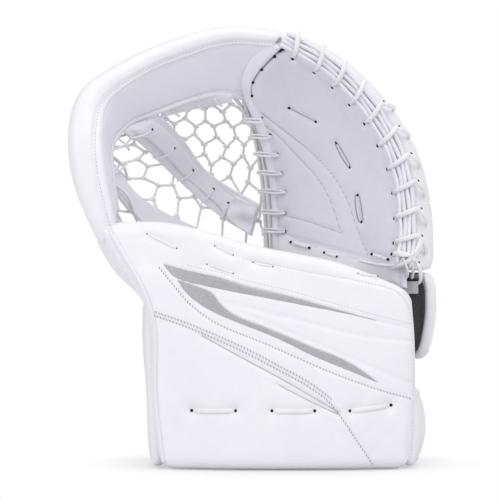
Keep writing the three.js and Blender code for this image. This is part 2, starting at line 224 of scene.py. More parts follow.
class Loft(Surface):
    """A surface over rails of points in millimetres; u runs from the first rail to the last, v along them."""

    def __init__(self, *rails: Points) -> None:
        """Keeps the rails in metres."""
        self.rails = [np.array(rail, float) * MM for rail in rails]

    def points(self, u: np.ndarray, v: np.ndarray) -> np.ndarray:
        """The surface's points, (N, 3), in metres."""
        return catmull(np.stack([catmull(rail, v) for rail in self.rails]), u)


class Mapped(Surface):
    """A part of another surface, which it reads through a change of (u, v)."""

    def __init__(self, parent: Surface, change: Callable) -> None:
        """Keeps the parent and the change, which takes (u, v) and gives the parent's (u, v)."""
        self.parent = parent
        self.change = change

    def points(self, u: np.ndarray, v: np.ndarray) -> np.ndarray:
        """The surface's points, (N, 3), in metres."""
        return self.parent.points(*self.change(u, v))

    def normals(self, u: np.ndarray, v: np.ndarray) -> np.ndarray:
        """The parent's unit normals."""
        return self.parent.normals(*self.change(u, v))


def row_of(u: np.ndarray | float, v: np.ndarray | float) -> np.ndarray:
    """The places (u, v) of a row over a surface, where one of the two may be the same all along it."""
    return np.stack(np.broadcast_arrays(u, v), axis=1)


def path_length(path: np.ndarray) -> float:
    """The length of a path."""
    return float(np.linalg.norm(np.diff(path, axis=0), axis=1).sum())


def even_path(path: np.ndarray, spacing: float) -> np.ndarray:
    """The same path with its points a fixed distance apart, in metres."""
    steps = np.linalg.norm(np.diff(path, axis=0), axis=1)
    reached = np.concatenate([[0], np.cumsum(steps)])
    count = max(2, int(reached[-1] / spacing) + 1)
    places = np.linspace(0, reached[-1], count)
    return np.stack([np.interp(places, reached, path[:, k]) for k in range(3)], axis=1)


def distance_to_path(points: np.ndarray, path: np.ndarray) -> np.ndarray:
    """The distance from each point to a path of straight stretches."""
    best = np.full(len(points), np.inf)
    for a, b in zip(path[:-1], path[1:]):
        along = b - a
        t = np.clip((points - a) @ along / max(float(along @ along), 1e-12), 0, 1)
        best = np.minimum(best, np.linalg.norm(points - a - t[:, None] * along, axis=1))
    return best


# ---------------------------------------------------------------- what is pressed into a pad


class Groove:
    """A line pressed into a pad, or with a negative depth a line raised on it."""

    def __init__(self, path: np.ndarray, width: float, depth: float) -> None:
        """Keeps the path in metres, and its width and depth in millimetres."""
        self.path, self.width, self.depth = path, width * MM, depth * MM

    def height(self, points: np.ndarray) -> np.ndarray:
        """How far each point moves outwards, in metres."""
        return -self.depth * np.exp(-((distance_to_path(points, self.path) / self.width) ** 2))


class Dimples(Groove):
    """Round hollows at a few points, where a lace goes through."""

    def height(self, points: np.ndarray) -> np.ndarray:
        """How far each point moves outwards, in metres."""
        nearest = np.min([np.linalg.norm(points - p, axis=1) for p in self.path], axis=0)
        return -self.depth * np.exp(-((nearest / self.width) ** 2))


class Panel:
    """A region, seen from the front, that is raised above the leather round it."""

    def __init__(self, outline: Points, rise: float, soft: float) -> None:
        """Keeps the outline's (x, z) corners, the rise and the width of its edge, all in millimetres."""
        self.outline, self.rise, self.soft = np.array(outline, float) * MM, rise * MM, soft * MM

    def height(self, points: np.ndarray) -> np.ndarray:
        """How far each point moves outwards, in metres."""
        flat = points[:, [0, 2]]
        closed = np.vstack([self.outline, self.outline[:1]])
        inside = np.zeros(len(flat), bool)
        for (x0, z0), (x1, z1) in zip(closed[:-1], closed[1:]):
            crosses = (z0 > flat[:, 1]) != (z1 > flat[:, 1])
            slope = (x1 - x0) / (z1 - z0) if abs(z1 - z0) > 1e-12 else 0.0
            inside ^= crosses & (flat[:, 0] < x0 + slope * (flat[:, 1] - z0))
        away = distance_to_path(flat, closed)
        return self.rise / (1 + np.exp(-np.where(inside, away, -away) / self.soft * 4))


class Ripple:
    """Soft unevenness of stuffed leather, as a few long waves."""

    def __init__(self, depth: float, length: float, seed: int) -> None:
        """Keeps the depth and wave length in millimetres, and the seed of the waves' directions."""
        source = np.random.default_rng(seed)
        self.waves = source.normal(size=(5, 3)) / (length * MM)
        self.phases = source.uniform(0, 2 * math.pi, 5)
        self.depth = depth * MM

    def height(self, points: np.ndarray) -> np.ndarray:
        """How far each point moves outwards, in metres."""
        return self.depth * np.mean(np.sin(points @ self.waves.T * 2 + self.phases), axis=1)


# ---------------------------------------------------------------- meshes


def make_object(
    name: str, mesh: Mesh, uv: np.ndarray | None = None, smooth: float = 180
) -> bpy.types.Object:
    """Makes a Blender object at the origin from vertices and faces.

    Args:
        name: The object's name.
        mesh: Vertices in metres, and faces that point outwards.
        uv: One (u, v) for each vertex, for the piece's own UV map.
        smooth: The sharpest angle in degrees that is shaded smooth.

    Returns:
        The object.
    """
    vertices, faces = mesh
    data = bpy.data.meshes.new(name)
    data.from_pydata(vertices.tolist(), [], faces)
    if uv is not None:
        loops = np.zeros(len(data.loops), int)
        data.loops.foreach_get("vertex_index", loops)
        data.uv_layers.new(name="UVMap").data.foreach_set("uv", uv[loops].astype(np.float32).ravel())
    data.validate()
    obj = bpy.data.objects.new(name, data)
    bpy.context.scene.collection.objects.link(obj)
    data.polygons.foreach_set("use_smooth", np.ones(len(data.polygons), bool))
    if smooth < 180:
        deselect_all()
        obj.select_set(True)
        bpy.context.view_layer.objects.active = obj
        bpy.ops.object.shade_smooth_by_angle(angle=math.radians(smooth))
    return obj


def deselect_all() -> None:
    """Deselects every object."""
    for obj in bpy.context.selected_objects:
        obj.select_set(False)


def edge_samples(length: float, radius: float, step: float) -> np.ndarray:
    """Places from 0 to 1 along a side, closer together where its ends are rolled.

    Args:
        length: The side's length in metres.
        radius: The radius of the roll at its ends, in metres.
        step: The distance between places elsewhere, in metres.

    Returns:
        The places.
    """
    radius = min(radius, 0.45 * length)
    turn = 1 - np.cos(np.linspace(0, math.pi / 2, 7))
    count = max(2, int((length - 2 * radius) / step) + 1)
    middle = np.linspace(radius, length - radius, count)[1:-1]
    return np.concatenate([turn * radius, middle, length - turn[::-1] * radius]) / length


@dataclass
class Quilt:
    """How a padded sheet is made: its two faces' offsets from its surface, and how its edges are rolled."""

    inner: float
    outer: float
    step: float = 1.6
    edge: float | None = None
    corner: float = 0.0
    swell: float = 0.0
    swell_width: float = 18.0
    relief: list = field(default_factory=list)

    def build(self, name: str, surface: Surface) -> bpy.types.Object:
        """Makes the closed sheet over a surface.

        Args:
            name: The piece's name.
            surface: The surface. Offsets are along its normals, and outer is the side that is seen.

        Returns:
            The piece.
        """
        length_u, length_v = surface.lengths()
        thick = abs(self.outer - self.inner) * MM
        radius = (self.edge if self.edge is not None else abs(self.outer - self.inner) / 2) * MM
        su = edge_samples(length_u, radius, self.step * MM)
        sv = edge_samples(length_v, radius, self.step * MM)
        u, v = (a.ravel() for a in np.meshgrid(su, sv, indexing="ij"))
        away_u, away_v = np.minimum(u, 1 - u) * length_u, np.minimum(v, 1 - v) * length_v
        away = np.minimum(away_u, away_v)
        u, v = self._round_corners(u, v, length_u, length_v)
        base, normal = surface.points(u, v), surface.normals(u, v)
        roll = 1 - np.clip(away / max(radius, 1e-9), 0, 1)
        fall = thick / 2 * (1 - np.sqrt(np.clip(1 - roll**2, 0, 1)))
        swell = self.swell * MM * (1 - (1 - np.clip(away / (self.swell_width * MM), 0, 1)) ** 2)
        side = math.copysign(1, self.outer - self.inner)
        face = base + normal * (self.outer * MM)
        relief = sum((r.height(face) for r in self.relief), np.zeros(len(base)))
        relief = relief * np.clip(away / max(radius, 1e-9), 0, 1)
        outer = base + normal * (self.outer * MM + side * (swell + relief - fall))[:, None]
        inner = base + normal * (self.inner * MM + side * fall)[:, None]
        vertices, faces = join_sheets(outer, inner, len(su), len(sv), side > 0)
        metres = np.stack([u * length_u, v * length_v], axis=1)
        obj = make_object(name, (vertices, faces), np.vstack([metres, metres]))
        weld(obj)
        return obj

    def on_face(self, surface: Surface, where: np.ndarray, lift: np.ndarray | float = 0.0) -> np.ndarray:
        """Points on the finished face at each (u, v), raised by a lift in millimetres."""
        u, v = where[:, 0], where[:, 1]
        base, normal = surface.points(u, v), surface.normals(u, v)
        side = math.copysign(1, self.outer - self.inner)
        length_u, length_v = surface.lengths()
        away = np.minimum(np.minimum(u, 1 - u) * length_u, np.minimum(v, 1 - v) * length_v)
        swell = self.swell * MM * (1 - (1 - np.clip(away / (self.swell_width * MM), 0, 1)) ** 2)
        face = base + normal * (self.outer * MM)
        relief = sum((r.height(face) for r in self.relief), np.zeros(len(base)))
        rise = self.outer * MM + side * (swell + relief + np.asarray(lift) * MM)
        return base + normal * rise[:, None]

    def trace(self, surface: Surface, seen: Points, lift: float = 0.0, count: int = 40) -> np.ndarray:
        """A line on the finished face through places seen at (x, z)."""
        return self.on_face(surface, surface.find(surface.spread(seen, count)), lift)

    def lace(self, surface: Surface, ends: Points, high: float = 1.0, deep: float = 1.6) -> np.ndarray:
        """The path of a lace stitch between two places seen at (x, z), which dives in at both ends."""
        where = surface.find(np.linspace(ends[0], ends[1], 13))
        t = np.linspace(-1, 1, 13)
        return self.on_face(surface, where, high - (high + deep) * np.abs(t) ** 8)

    def _round_corners(
        self, u: np.ndarray, v: np.ndarray, length_u: float, length_v: float
    ) -> tuple[np.ndarray, np.ndarray]:
        """Turns the square corners of (u, v) into quarter circles."""
        if self.corner <= 0:
            return u, v
        ru, rv = self.corner * MM / length_u, self.corner * MM / length_v
        near_u, near_v = np.minimum(u, 1 - u), np.minimum(v, 1 - v)
        a, b = np.clip(1 - near_u / ru, 0, 1), np.clip(1 - near_v / rv, 0, 1)
        new_u, new_v = a * np.sqrt(1 - b**2 / 2), b * np.sqrt(1 - a**2 / 2)
        both = (a > 0) & (b > 0)
        near_u = np.where(both, ru * (1 - new_u), near_u)
        near_v = np.where(both, rv * (1 - new_v), near_v)
        return np.where(u < 0.5, near_u, 1 - near_u), np.where(v < 0.5, near_v, 1 - near_v)


def join_sheets(outer: np.ndarray, inner: np.ndarray, rows: int, columns: int, straight: bool) -> Mesh:
    """Two grids of vertices as one closed mesh, whose rims lie on each other.

    Args:
        outer: The face that is seen, row by row.
        inner: The face behind it.
        rows: How many rows the grids have.
        columns: How many vertices a row has.
        straight: True if the seen face looks along the grid's own normal.

    Returns:
        The mesh, with its rims not yet welded.
    """
    faces = []
    shift = len(outer)
    for i in range(rows - 1):
        for j in range(columns - 1):
            a = i * columns + j
            quad = (a, a + columns, a + columns + 1, a + 1)
            back = tuple(k + shift for k in quad)
            faces.append(quad if straight else quad[::-1])
            faces.append(back[::-1] if straight else back)
    return np.vstack([outer, inner]), faces


def weld(obj: bpy.types.Object, distance: float = 1e-6) -> None:
    """Merges the vertices of an object that lie on each other."""
    mesh = bmesh.new()
    mesh.from_mesh(obj.data)
    bmesh.ops.remove_doubles(mesh, verts=mesh.verts, dist=distance)
    bmesh.ops.dissolve_degenerate(mesh, dist=distance / 10, edges=mesh.edges)
    mesh.to_mesh(obj.data)
    mesh.free()


@dataclass
class Cord:
    """A cord or lace: a flattened round section that follows a path, with rounded ends."""

    width: float
    thick: float
    sides: int = 10
    spacing: float = 1.2

    def mesh(self, path: np.ndarray, facing: np.ndarray | None = None) -> Mesh:
        """Makes the closed tube.

        Args:
            path: The middle line, in metres.
            facing: The direction that its flat side faces, (3,) or one for each point of the path.

        Returns:
            The mesh.
        """
        count = len(path)
        path = even_path(path, self.spacing * MM)
        if facing is not None and facing.ndim == 2:
            place, old = np.linspace(0, 1, len(path)), np.linspace(0, 1, count)
            facing = np.stack([np.interp(place, old, facing[:, k]) for k in range(3)], axis=1)
        tangent = np.gradient(path, axis=0)
        tangent /= np.maximum(np.linalg.norm(tangent, axis=1, keepdims=True), 1e-12)
        across = self._frames(tangent, facing)
        flat = np.cross(tangent, across)
        angles = np.linspace(0, 2 * math.pi, self.sides, endpoint=False)
        half_w, half_t = self.width * MM / 2, self.thick * MM / 2
        reach = np.concatenate([[0], np.cumsum(np.linalg.norm(np.diff(path, axis=0), axis=1))])
        nearest_end = np.minimum(reach, reach[-1] - reach)
        taper = np.sqrt(np.clip(1 - (1 - np.clip(nearest_end / half_t, 0, 1)) ** 2, 0.02, 1))
        rings = (
            path[:, None]
            + across[:, None] * (np.cos(angles) * half_w)[None, :, None] * taper[:, None, None]
            + flat[:, None] * (np.sin(angles) * half_t)[None, :, None] * taper[:, None, None]
        )
        return tube_faces(rings)

    def _frames(self, tangent: np.ndarray, facing: np.ndarray | None) -> np.ndarray:
        """The direction of the section's width at each point."""
        if facing is not None:
            across = np.cross(tangent, np.broadcast_to(facing, tangent.shape))
            return across / np.maximum(np.linalg.norm(across, axis=1, keepdims=True), 1e-9)
        start = np.array([0, 0, 1.0]) if abs(tangent[0][2]) < 0.9 else np.array([1.0, 0, 0])
        across = []
        current = np.cross(tangent[0], start)
        for direction in tangent:
            current = current - direction * (current @ direction)
            current = current / max(np.linalg.norm(current), 1e-9)
            across.append(current)
        return np.array(across)


def tube_faces(rings: np.ndarray) -> Mesh:
    """Closes rings of vertices, (rings, sides, 3), into a tube with flat ends."""
    count, sides = rings.shape[:2]
    faces = []
    for i in range(count - 1):
        for j in range(sides):
            k = (j + 1) % sides
            faces.append((i * sides + j, i * sides + k, (i + 1) * sides + k, (i + 1) * sides + j))
    faces.append(tuple(range(sides))[::-1])
    faces.append(tuple((count - 1) * sides + j for j in range(sides)))
    vertices = rings.reshape(-1, 3)
    return vertices, faces


def join_meshes(meshes: Sequence[Mesh]) -> Mesh:
    """Several meshes as one."""
    vertices, faces, shift = [], [], 0
    for points, polygons in meshes:
        vertices.append(points)
        faces.extend(tuple(k + shift for k in polygon) for polygon in polygons)
        shift += len(points)
    return np.vstack(vertices), faces


def outwards(obj: bpy.types.Object) -> bpy.types.Object:
    """Turns every face of an object outwards."""
    mesh = bmesh.new()
    mesh.from_mesh(obj.data)
    bmesh.ops.recalc_face_normals(mesh, faces=mesh.faces)
    mesh.to_mesh(obj.data)
    mesh.free()
    return obj


def cords(
    name: str, cord: Cord, paths: Sequence[np.ndarray], facing: np.ndarray | None = None
) -> bpy.types.Object:
    """Makes one piece of several cords of one kind."""
    meshes = [cord.mesh(path, facing) for path in paths]
    return outwards(make_object(name, join_meshes(meshes)))


def stitches(
    name: str, rows: Sequence[np.ndarray], pitch: float, stitch: float, thread: float, slant: float = 0.0
) -> bpy.types.Object:
    """Makes rows of sewn stitches as one piece.

    Args:
        name: The piece's name.
        rows: The lines that the rows follow, in metres, on the leather's face.
        pitch: The distance from stitch to stitch, in millimetres.
        stitch: A stitch's length, in millimetres.
        thread: The thread's width, in millimetres.
        slant: How far a stitch leans across its row, as a share of its length.

    Returns:
        The piece.
    """
    cord = Cord(thread, thread, sides=5, spacing=stitch / 3)
    meshes = []
    for row in rows:
        even = even_path(row, pitch * MM)
        along = np.gradient(even, axis=0)
        along /= np.maximum(np.linalg.norm(along, axis=1, keepdims=True), 1e-12)
        side = np.cross(along, FORWARDS)
        for middle, ahead, lean in zip(even, along, side):
            reach = (ahead + lean * slant) * stitch * MM / 2
            meshes.append(cord.mesh(np.linspace(middle - reach, middle + reach, 4)))
    return outwards(make_object(name, join_meshes(meshes)))


def plugs(name: str, centres: np.ndarray, facing: np.ndarray, radius: float) -> bpy.types.Object:
    """Makes dark discs of painted shade in the mouths of punched lace holes, one shallow domed disc for each
    centre.
    """
    sides, profile = 12, ((1.0, -0.8), (0.92, 0.1), (0.6, 0.16), (0.12, 0.18))
    meshes = []
    facing = np.broadcast_to(facing, centres.shape)
    for centre, out in zip(centres, facing):
        out = out / np.linalg.norm(out)
        across = np.cross(out, [0.0, 0.0, 1.0]) if abs(out[2]) < 0.9 else np.cross(out, [1.0, 0.0, 0.0])
        across /= np.linalg.norm(across)
        up = np.cross(out, across)
        turns = np.linspace(0, 2 * math.pi, sides, endpoint=False)
        circle = np.cos(turns)[:, None] * across + np.sin(turns)[:, None] * up
        rings = np.array([centre + circle * radius * r * MM + out * h * radius * MM for r, h in profile])
        meshes.append(tube_faces(rings))
    return outwards(make_object(name, join_meshes(meshes), smooth=40))


# ---------------------------------------------------------------- finishes


class Grain(Enum):
    """The patterns that a finish can have."""

    LEATHER = "leather_grain"
    WEAVE = "webbing_weave"
    KNIT = "knitted_cells"
    FIBRE = "twisted_fibres"
    HOOKS = "hook_tape"
    MOULDED = "moulded_skin"
    FLECK = "silver_fleck"


def new_group(name: str, outputs: Sequence[str]) -> tuple[bpy.types.NodeTree, bpy.types.Node, bpy.types.Node]:
    """Makes an empty shader group with a Scale input and some value outputs.

    Args:
        name: The group's name.
        outputs: The names of its outputs.

    Returns:
        The group, its input node and its output node.
    """
    group = bpy.data.node_groups.new(name, "ShaderNodeTree")
    group.interface.new_socket("Scale", in_out="INPUT", socket_type="NodeSocketFloat")
    for output in outputs:
        group.interface.new_socket(output, in_out="OUTPUT", socket_type="NodeSocketFloat")
    return group, group.nodes.new("NodeGroupInput"), group.nodes.new("NodeGroupOutput")


class Patterns:
    """Builds each pattern's shader group once.

    A group gives a Height for the bump and a Mottle for the colour.
    """

    def __init__(self) -> None:
        """Starts with no group built."""
        self.built: dict[Grain, bpy.types.NodeTree] = {}

    def get(self, grain: Grain) -> bpy.types.NodeTree:
        """The group for a pattern."""
        if grain not in self.built:
            self.built[grain] = self._build(grain)
        return self.built[grain]

    def _build(self, grain: Grain) -> bpy.types.NodeTree:
        """Builds the group for a pattern."""
        group, inputs, outputs = new_group(grain.value, ("Height", "Mottle"))
        nodes, links = group.nodes, group.links
        place = nodes.new("ShaderNodeTexCoord")
        source = place.outputs["UV"] if grain is Grain.WEAVE else place.outputs["Object"]

        def noise(factor: float, detail: float) -> bpy.types.NodeSocket:
            """Noise at a factor of the group's scale."""
            scale = nodes.new("ShaderNodeMath")
            scale.operation = "MULTIPLY"
            scale.inputs[1].default_value = factor
            links.new(inputs.outputs["Scale"], scale.inputs[0])
            texture = nodes.new("ShaderNodeTexNoise")
            texture.inputs["Detail"].default_value = detail
            links.new(source, texture.inputs["Vector"])
            links.new(scale.outputs[0], texture.inputs["Scale"])
            return texture.outputs["Fac"]

        def mix(
            first: bpy.types.NodeSocket, second: bpy.types.NodeSocket, share: float
        ) -> bpy.types.NodeSocket:
            """A blend of two values, with a share of the second."""
            node = nodes.new("ShaderNodeMix")
            node.inputs["Factor"].default_value = share
            links.new(first, node.inputs["A"])
            links.new(second, node.inputs["B"])
            return node.outputs["Result"]

        if grain is Grain.WEAVE:
            height = self._threads(group, source, inputs.outputs["Scale"])
        elif grain in (Grain.LEATHER, Grain.KNIT, Grain.HOOKS):
            cells = nodes.new("ShaderNodeTexVoronoi")
            cells.feature = "SMOOTH_F1" if grain is Grain.LEATHER else "F1"
            cells.inputs["Randomness"].default_value = 0.35 if grain is Grain.KNIT else 1.0
            links.new(source, cells.inputs["Vector"])
            links.new(inputs.outputs["Scale"], cells.inputs["Scale"])
            height = mix(cells.outputs["Distance"], noise(2.5, 3), 0.35)
        else:
            height = mix(noise(1.0, 2), noise(4.0, 1), 0.4)
        links.new(height, outputs.inputs["Height"])
        fine = 0.5 if grain in (Grain.FLECK, Grain.KNIT, Grain.HOOKS) else 0.02
        links.new(mix(noise(fine, 3), noise(fine * 6, 2), 0.35), outputs.inputs["Mottle"])
        return group

    @staticmethod
    def _threads(
        group: bpy.types.NodeTree, source: bpy.types.NodeSocket, scale: bpy.types.NodeSocket
    ) -> bpy.types.NodeSocket:
        """Crossing threads over the piece's own UV map."""
        nodes, links = group.nodes, group.links
        waves = []
        for direction in ("X", "Y"):
            wave = nodes.new("ShaderNodeTexWave")
            wave.bands_direction = direction
            wave.inputs["Distortion"].default_value = 0.4
            links.new(source, wave.inputs["Vector"])
            links.new(scale, wave.inputs["Scale"])
            waves.append(wave.outputs["Fac"])
        both = nodes.new("ShaderNodeMath")
        both.operation = "MULTIPLY"
        links.new(waves[0], both.inputs[0])
        links.new(waves[1], both.inputs[1])
        return both.outputs[0]


PATTERNS = Patterns()


@dataclass(frozen=True)
class Finish:
    """One finish: its colour and the darker shade that it is mottled with, and its sheen and grain."""

    name: str
    slot: str
    colour: tuple[float, float, float]
    shade: tuple[float, float, float]
    grain: Grain
    scale: float
    depth: float
    roughness: float
    uneven: float = 0.12
    metallic: float = 0.0
    coat: float = 0.0
    fuzz: float = 0.0
    glow_under: float = 0.0

    def material(self) -> bpy.types.Material:
        """The finish's material, made on first use."""
        found = bpy.data.materials.get(self.name)
        if found:
            return found
        material = bpy.data.materials.new(self.name)
        material.use_nodes = True
        nodes, links = material.node_tree.nodes, material.node_tree.links
        shader = nodes["Principled BSDF"]
        pattern = nodes.new("ShaderNodeGroup")
        pattern.node_tree = PATTERNS.get(self.grain)
        pattern.inputs["Scale"].default_value = self.scale
        colour = nodes.new("ShaderNodeMix")
        colour.data_type = "RGBA"
        tones = [socket for socket in colour.inputs if socket.type == "RGBA"]
        tones[0].default_value = (*self.colour, 1)
        tones[1].default_value = (*self.shade, 1)
        spread = nodes.new("ShaderNodeMapRange")
        spread.inputs["From Min"].default_value = 0.42
        spread.inputs["From Max"].default_value = 0.78
        links.new(pattern.outputs["Mottle"], spread.inputs["Value"])
        links.new(spread.outputs["Result"], colour.inputs["Factor"])
        mixed = next(socket for socket in colour.outputs if socket.type == "RGBA")
        links.new(mixed, shader.inputs["Base Color"])
        gloss = nodes.new("ShaderNodeMapRange")
        gloss.inputs["To Min"].default_value = self.roughness - self.uneven / 2
        gloss.inputs["To Max"].default_value = self.roughness + self.uneven / 2
        links.new(pattern.outputs["Mottle"], gloss.inputs["Value"])
        links.new(gloss.outputs["Result"], shader.inputs["Roughness"])
        bump = nodes.new("ShaderNodeBump")
        bump.inputs["Strength"].default_value = 0.6
        bump.inputs["Distance"].default_value = self.depth * MM
        links.new(pattern.outputs["Height"], bump.inputs["Height"])
        links.new(bump.outputs["Normal"], shader.inputs["Normal"])
        shader.inputs["Metallic"].default_value = self.metallic
        shader.inputs["Coat Weight"].default_value = self.coat
        shader.inputs["Coat Roughness"].default_value = 0.35
        shader.inputs["Sheen Weight"].default_value = self.fuzz
        shader.inputs["Sheen Roughness"].default_value = 0.5
        return material


WHITE_LEATHER = Finish(
    name="white_leather", slot="leather_white", colour=(0.90, 0.90, 0.915), shade=(0.85, 0.85, 0.875),
    grain=Grain.LEATHER, scale=950, depth=0.10, roughness=0.42, coat=0.12,
)
# A darker copy of the white leather: painted shade on the rolled piping, the wall binding and every other rim
# layer.
ROLLED_LEATHER_PAINTED_SHADE = Finish(
    name="rolled_leather_painted_shade", slot="leather_white", colour=(0.87, 0.865, 0.90), shade=(0.80, 0.795, 0.84),
    grain=Grain.LEATHER, scale=950, depth=0.12, roughness=0.46, coat=0.08,
)
# The thumb wall's leather, painted lighter than the white leather to lift the shade that falls on the wall.
WALL_LEATHER_PAINTED_LIGHT = Finish(
    name="wall_leather_painted_light", slot="leather_palm", colour=(0.93, 0.925, 0.955), shade=(0.89, 0.885, 0.92),
    grain=Grain.LEATHER, scale=900, depth=0.10, roughness=0.55,
)
PALM_LEATHER = Finish(
    name="palm_leather", slot="leather_palm", colour=(0.845, 0.83, 0.89), shade=(0.79, 0.775, 0.84),
    grain=Grain.LEATHER, scale=1100, depth=0.09, roughness=0.62,
)
STRAP_LEATHER = Finish(
    name="strap_leather", slot="leather_palm", colour=(0.90, 0.895, 0.94), shade=(0.83, 0.825, 0.87),
    grain=Grain.LEATHER, scale=900, depth=0.14, roughness=0.58,
)
SILVER = Finish(
    name="silver_fabric", slot="insert_silver", colour=(0.52, 0.52, 0.535), shade=(0.36, 0.36, 0.375),
    grain=Grain.FLECK, scale=1800, depth=0.05, roughness=0.38, metallic=0.45,
)
LACE = Finish(
    name="lace_leather", slot="lace_white", colour=(0.90, 0.90, 0.905), shade=(0.80, 0.80, 0.81),
    grain=Grain.FIBRE, scale=1200, depth=0.08, roughness=0.6,
)
NET_CORD = Finish(
    name="net_cord", slot="lace_white", colour=(0.93, 0.93, 0.925), shade=(0.83, 0.83, 0.825),
    grain=Grain.FIBRE, scale=1500, depth=0.2, roughness=0.75, fuzz=0.2,
)
# Thread drawn grey: painted shade of the stitch holes over the thread's own colour.
THREAD_AND_HOLE_SHADE = Finish(
    name="thread_painted_hole_shade", slot="leather_white", colour=(0.66, 0.66, 0.70), shade=(0.56, 0.56, 0.60),
    grain=Grain.FIBRE, scale=2500, depth=0.05, roughness=0.7,
)
# Grey thread: painted seam shadow, over real stitches in the cuff's sewn rows.
SHADOW_THREAD = Finish(
    name="thread_and_painted_seam_shadow", slot="leather_palm", colour=(0.46, 0.45, 0.51), shade=(0.38, 0.37, 0.43),
    grain=Grain.FIBRE, scale=2500, depth=0.05, roughness=0.75,
)
# Dark grey cords: painted shadow in the grooves of the sunk white laces on the palm.
SUNK_LACE_SHADOW = Finish(
    name="painted_sunk_lace_shadow", slot="lace_white", colour=(0.36, 0.35, 0.40), shade=(0.28, 0.27, 0.32),
    grain=Grain.FIBRE, scale=1200, depth=0.08, roughness=0.7,
)
# Grey cords along the cuff's folds: painted shadow in the fold lines.
FOLD_SHADOW = Finish(
    name="painted_fold_shadow", slot="insert_silver", colour=(0.55, 0.55, 0.57), shade=(0.40, 0.40, 0.42),
    grain=Grain.FLECK, scale=1800, depth=0.03, roughness=0.5,
)
# Near-black discs: painted shade inside the punched lace holes.
HOLE_SHADE = Finish(
    name="painted_hole_shade", slot="lining_black", colour=(0.02, 0.02, 0.025), shade=(0.01, 0.01, 0.012),
    grain=Grain.MOULDED, scale=900, depth=0.02, roughness=0.9,
)
LINING = Finish(
    name="black_lining", slot="lining_black", colour=(0.035, 0.036, 0.042), shade=(0.018, 0.018, 0.022),
    grain=Grain.KNIT, scale=900, depth=0.25, roughness=0.85, fuzz=0.3,
)
WEBBING = Finish(
    name="woven_webbing", slot="webbing_white", colour=(0.82, 0.82, 0.85), shade=(0.72, 0.72, 0.76),
    grain=Grain.WEAVE, scale=110, depth=0.35, roughness=0.8, fuzz=0.15,
)
HOOK_TAPE = Finish(
    name="hook_tape", slot="hook_grey", colour=(0.30, 0.30, 0.32), shade=(0.20, 0.20, 0.22),
    grain=Grain.HOOKS, scale=700, depth=0.5, roughness=0.9,
)
PLASTIC = Finish(
    name="moulded_plastic", slot="plastic_white", colour=(0.82, 0.82, 0.85), shade=(0.78, 0.78, 0.81),
    grain=Grain.MOULDED, scale=700, depth=0.03, roughness=0.35,
)


def dress(
    obj: bpy.types.Object, body: Body, finish: Finish, nodes: Sequence[str] = ()
) -> bpy.types.Object:
    """Gives a finished piece its material, hides the frame's nodes that it replaces and parents it to the
    body that it moves with.

    Args:
        obj: The piece, in its place.
        body: The body that it rides on.
        finish: Its finish.
        nodes: The frame's nodes that it replaces.

    Returns:
        The piece.
    """
    obj.data.materials.clear()
    obj.data.materials.append(finish.material())
    if nodes:
        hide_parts(*nodes)
    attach(obj, body.value)
    LOG.info("%s: %d faces on %s", obj.name, len(obj.data.polygons), body.value)
    return obj


def mould_plate(node: str) -> None:
    """Gives a stiffener plate of the frame its moulded plastic."""
    materials = frame["nodes"][node].data.materials
    materials.clear()
    materials.append(PLASTIC.material())


# ---------------------------------------------------------------- cuff


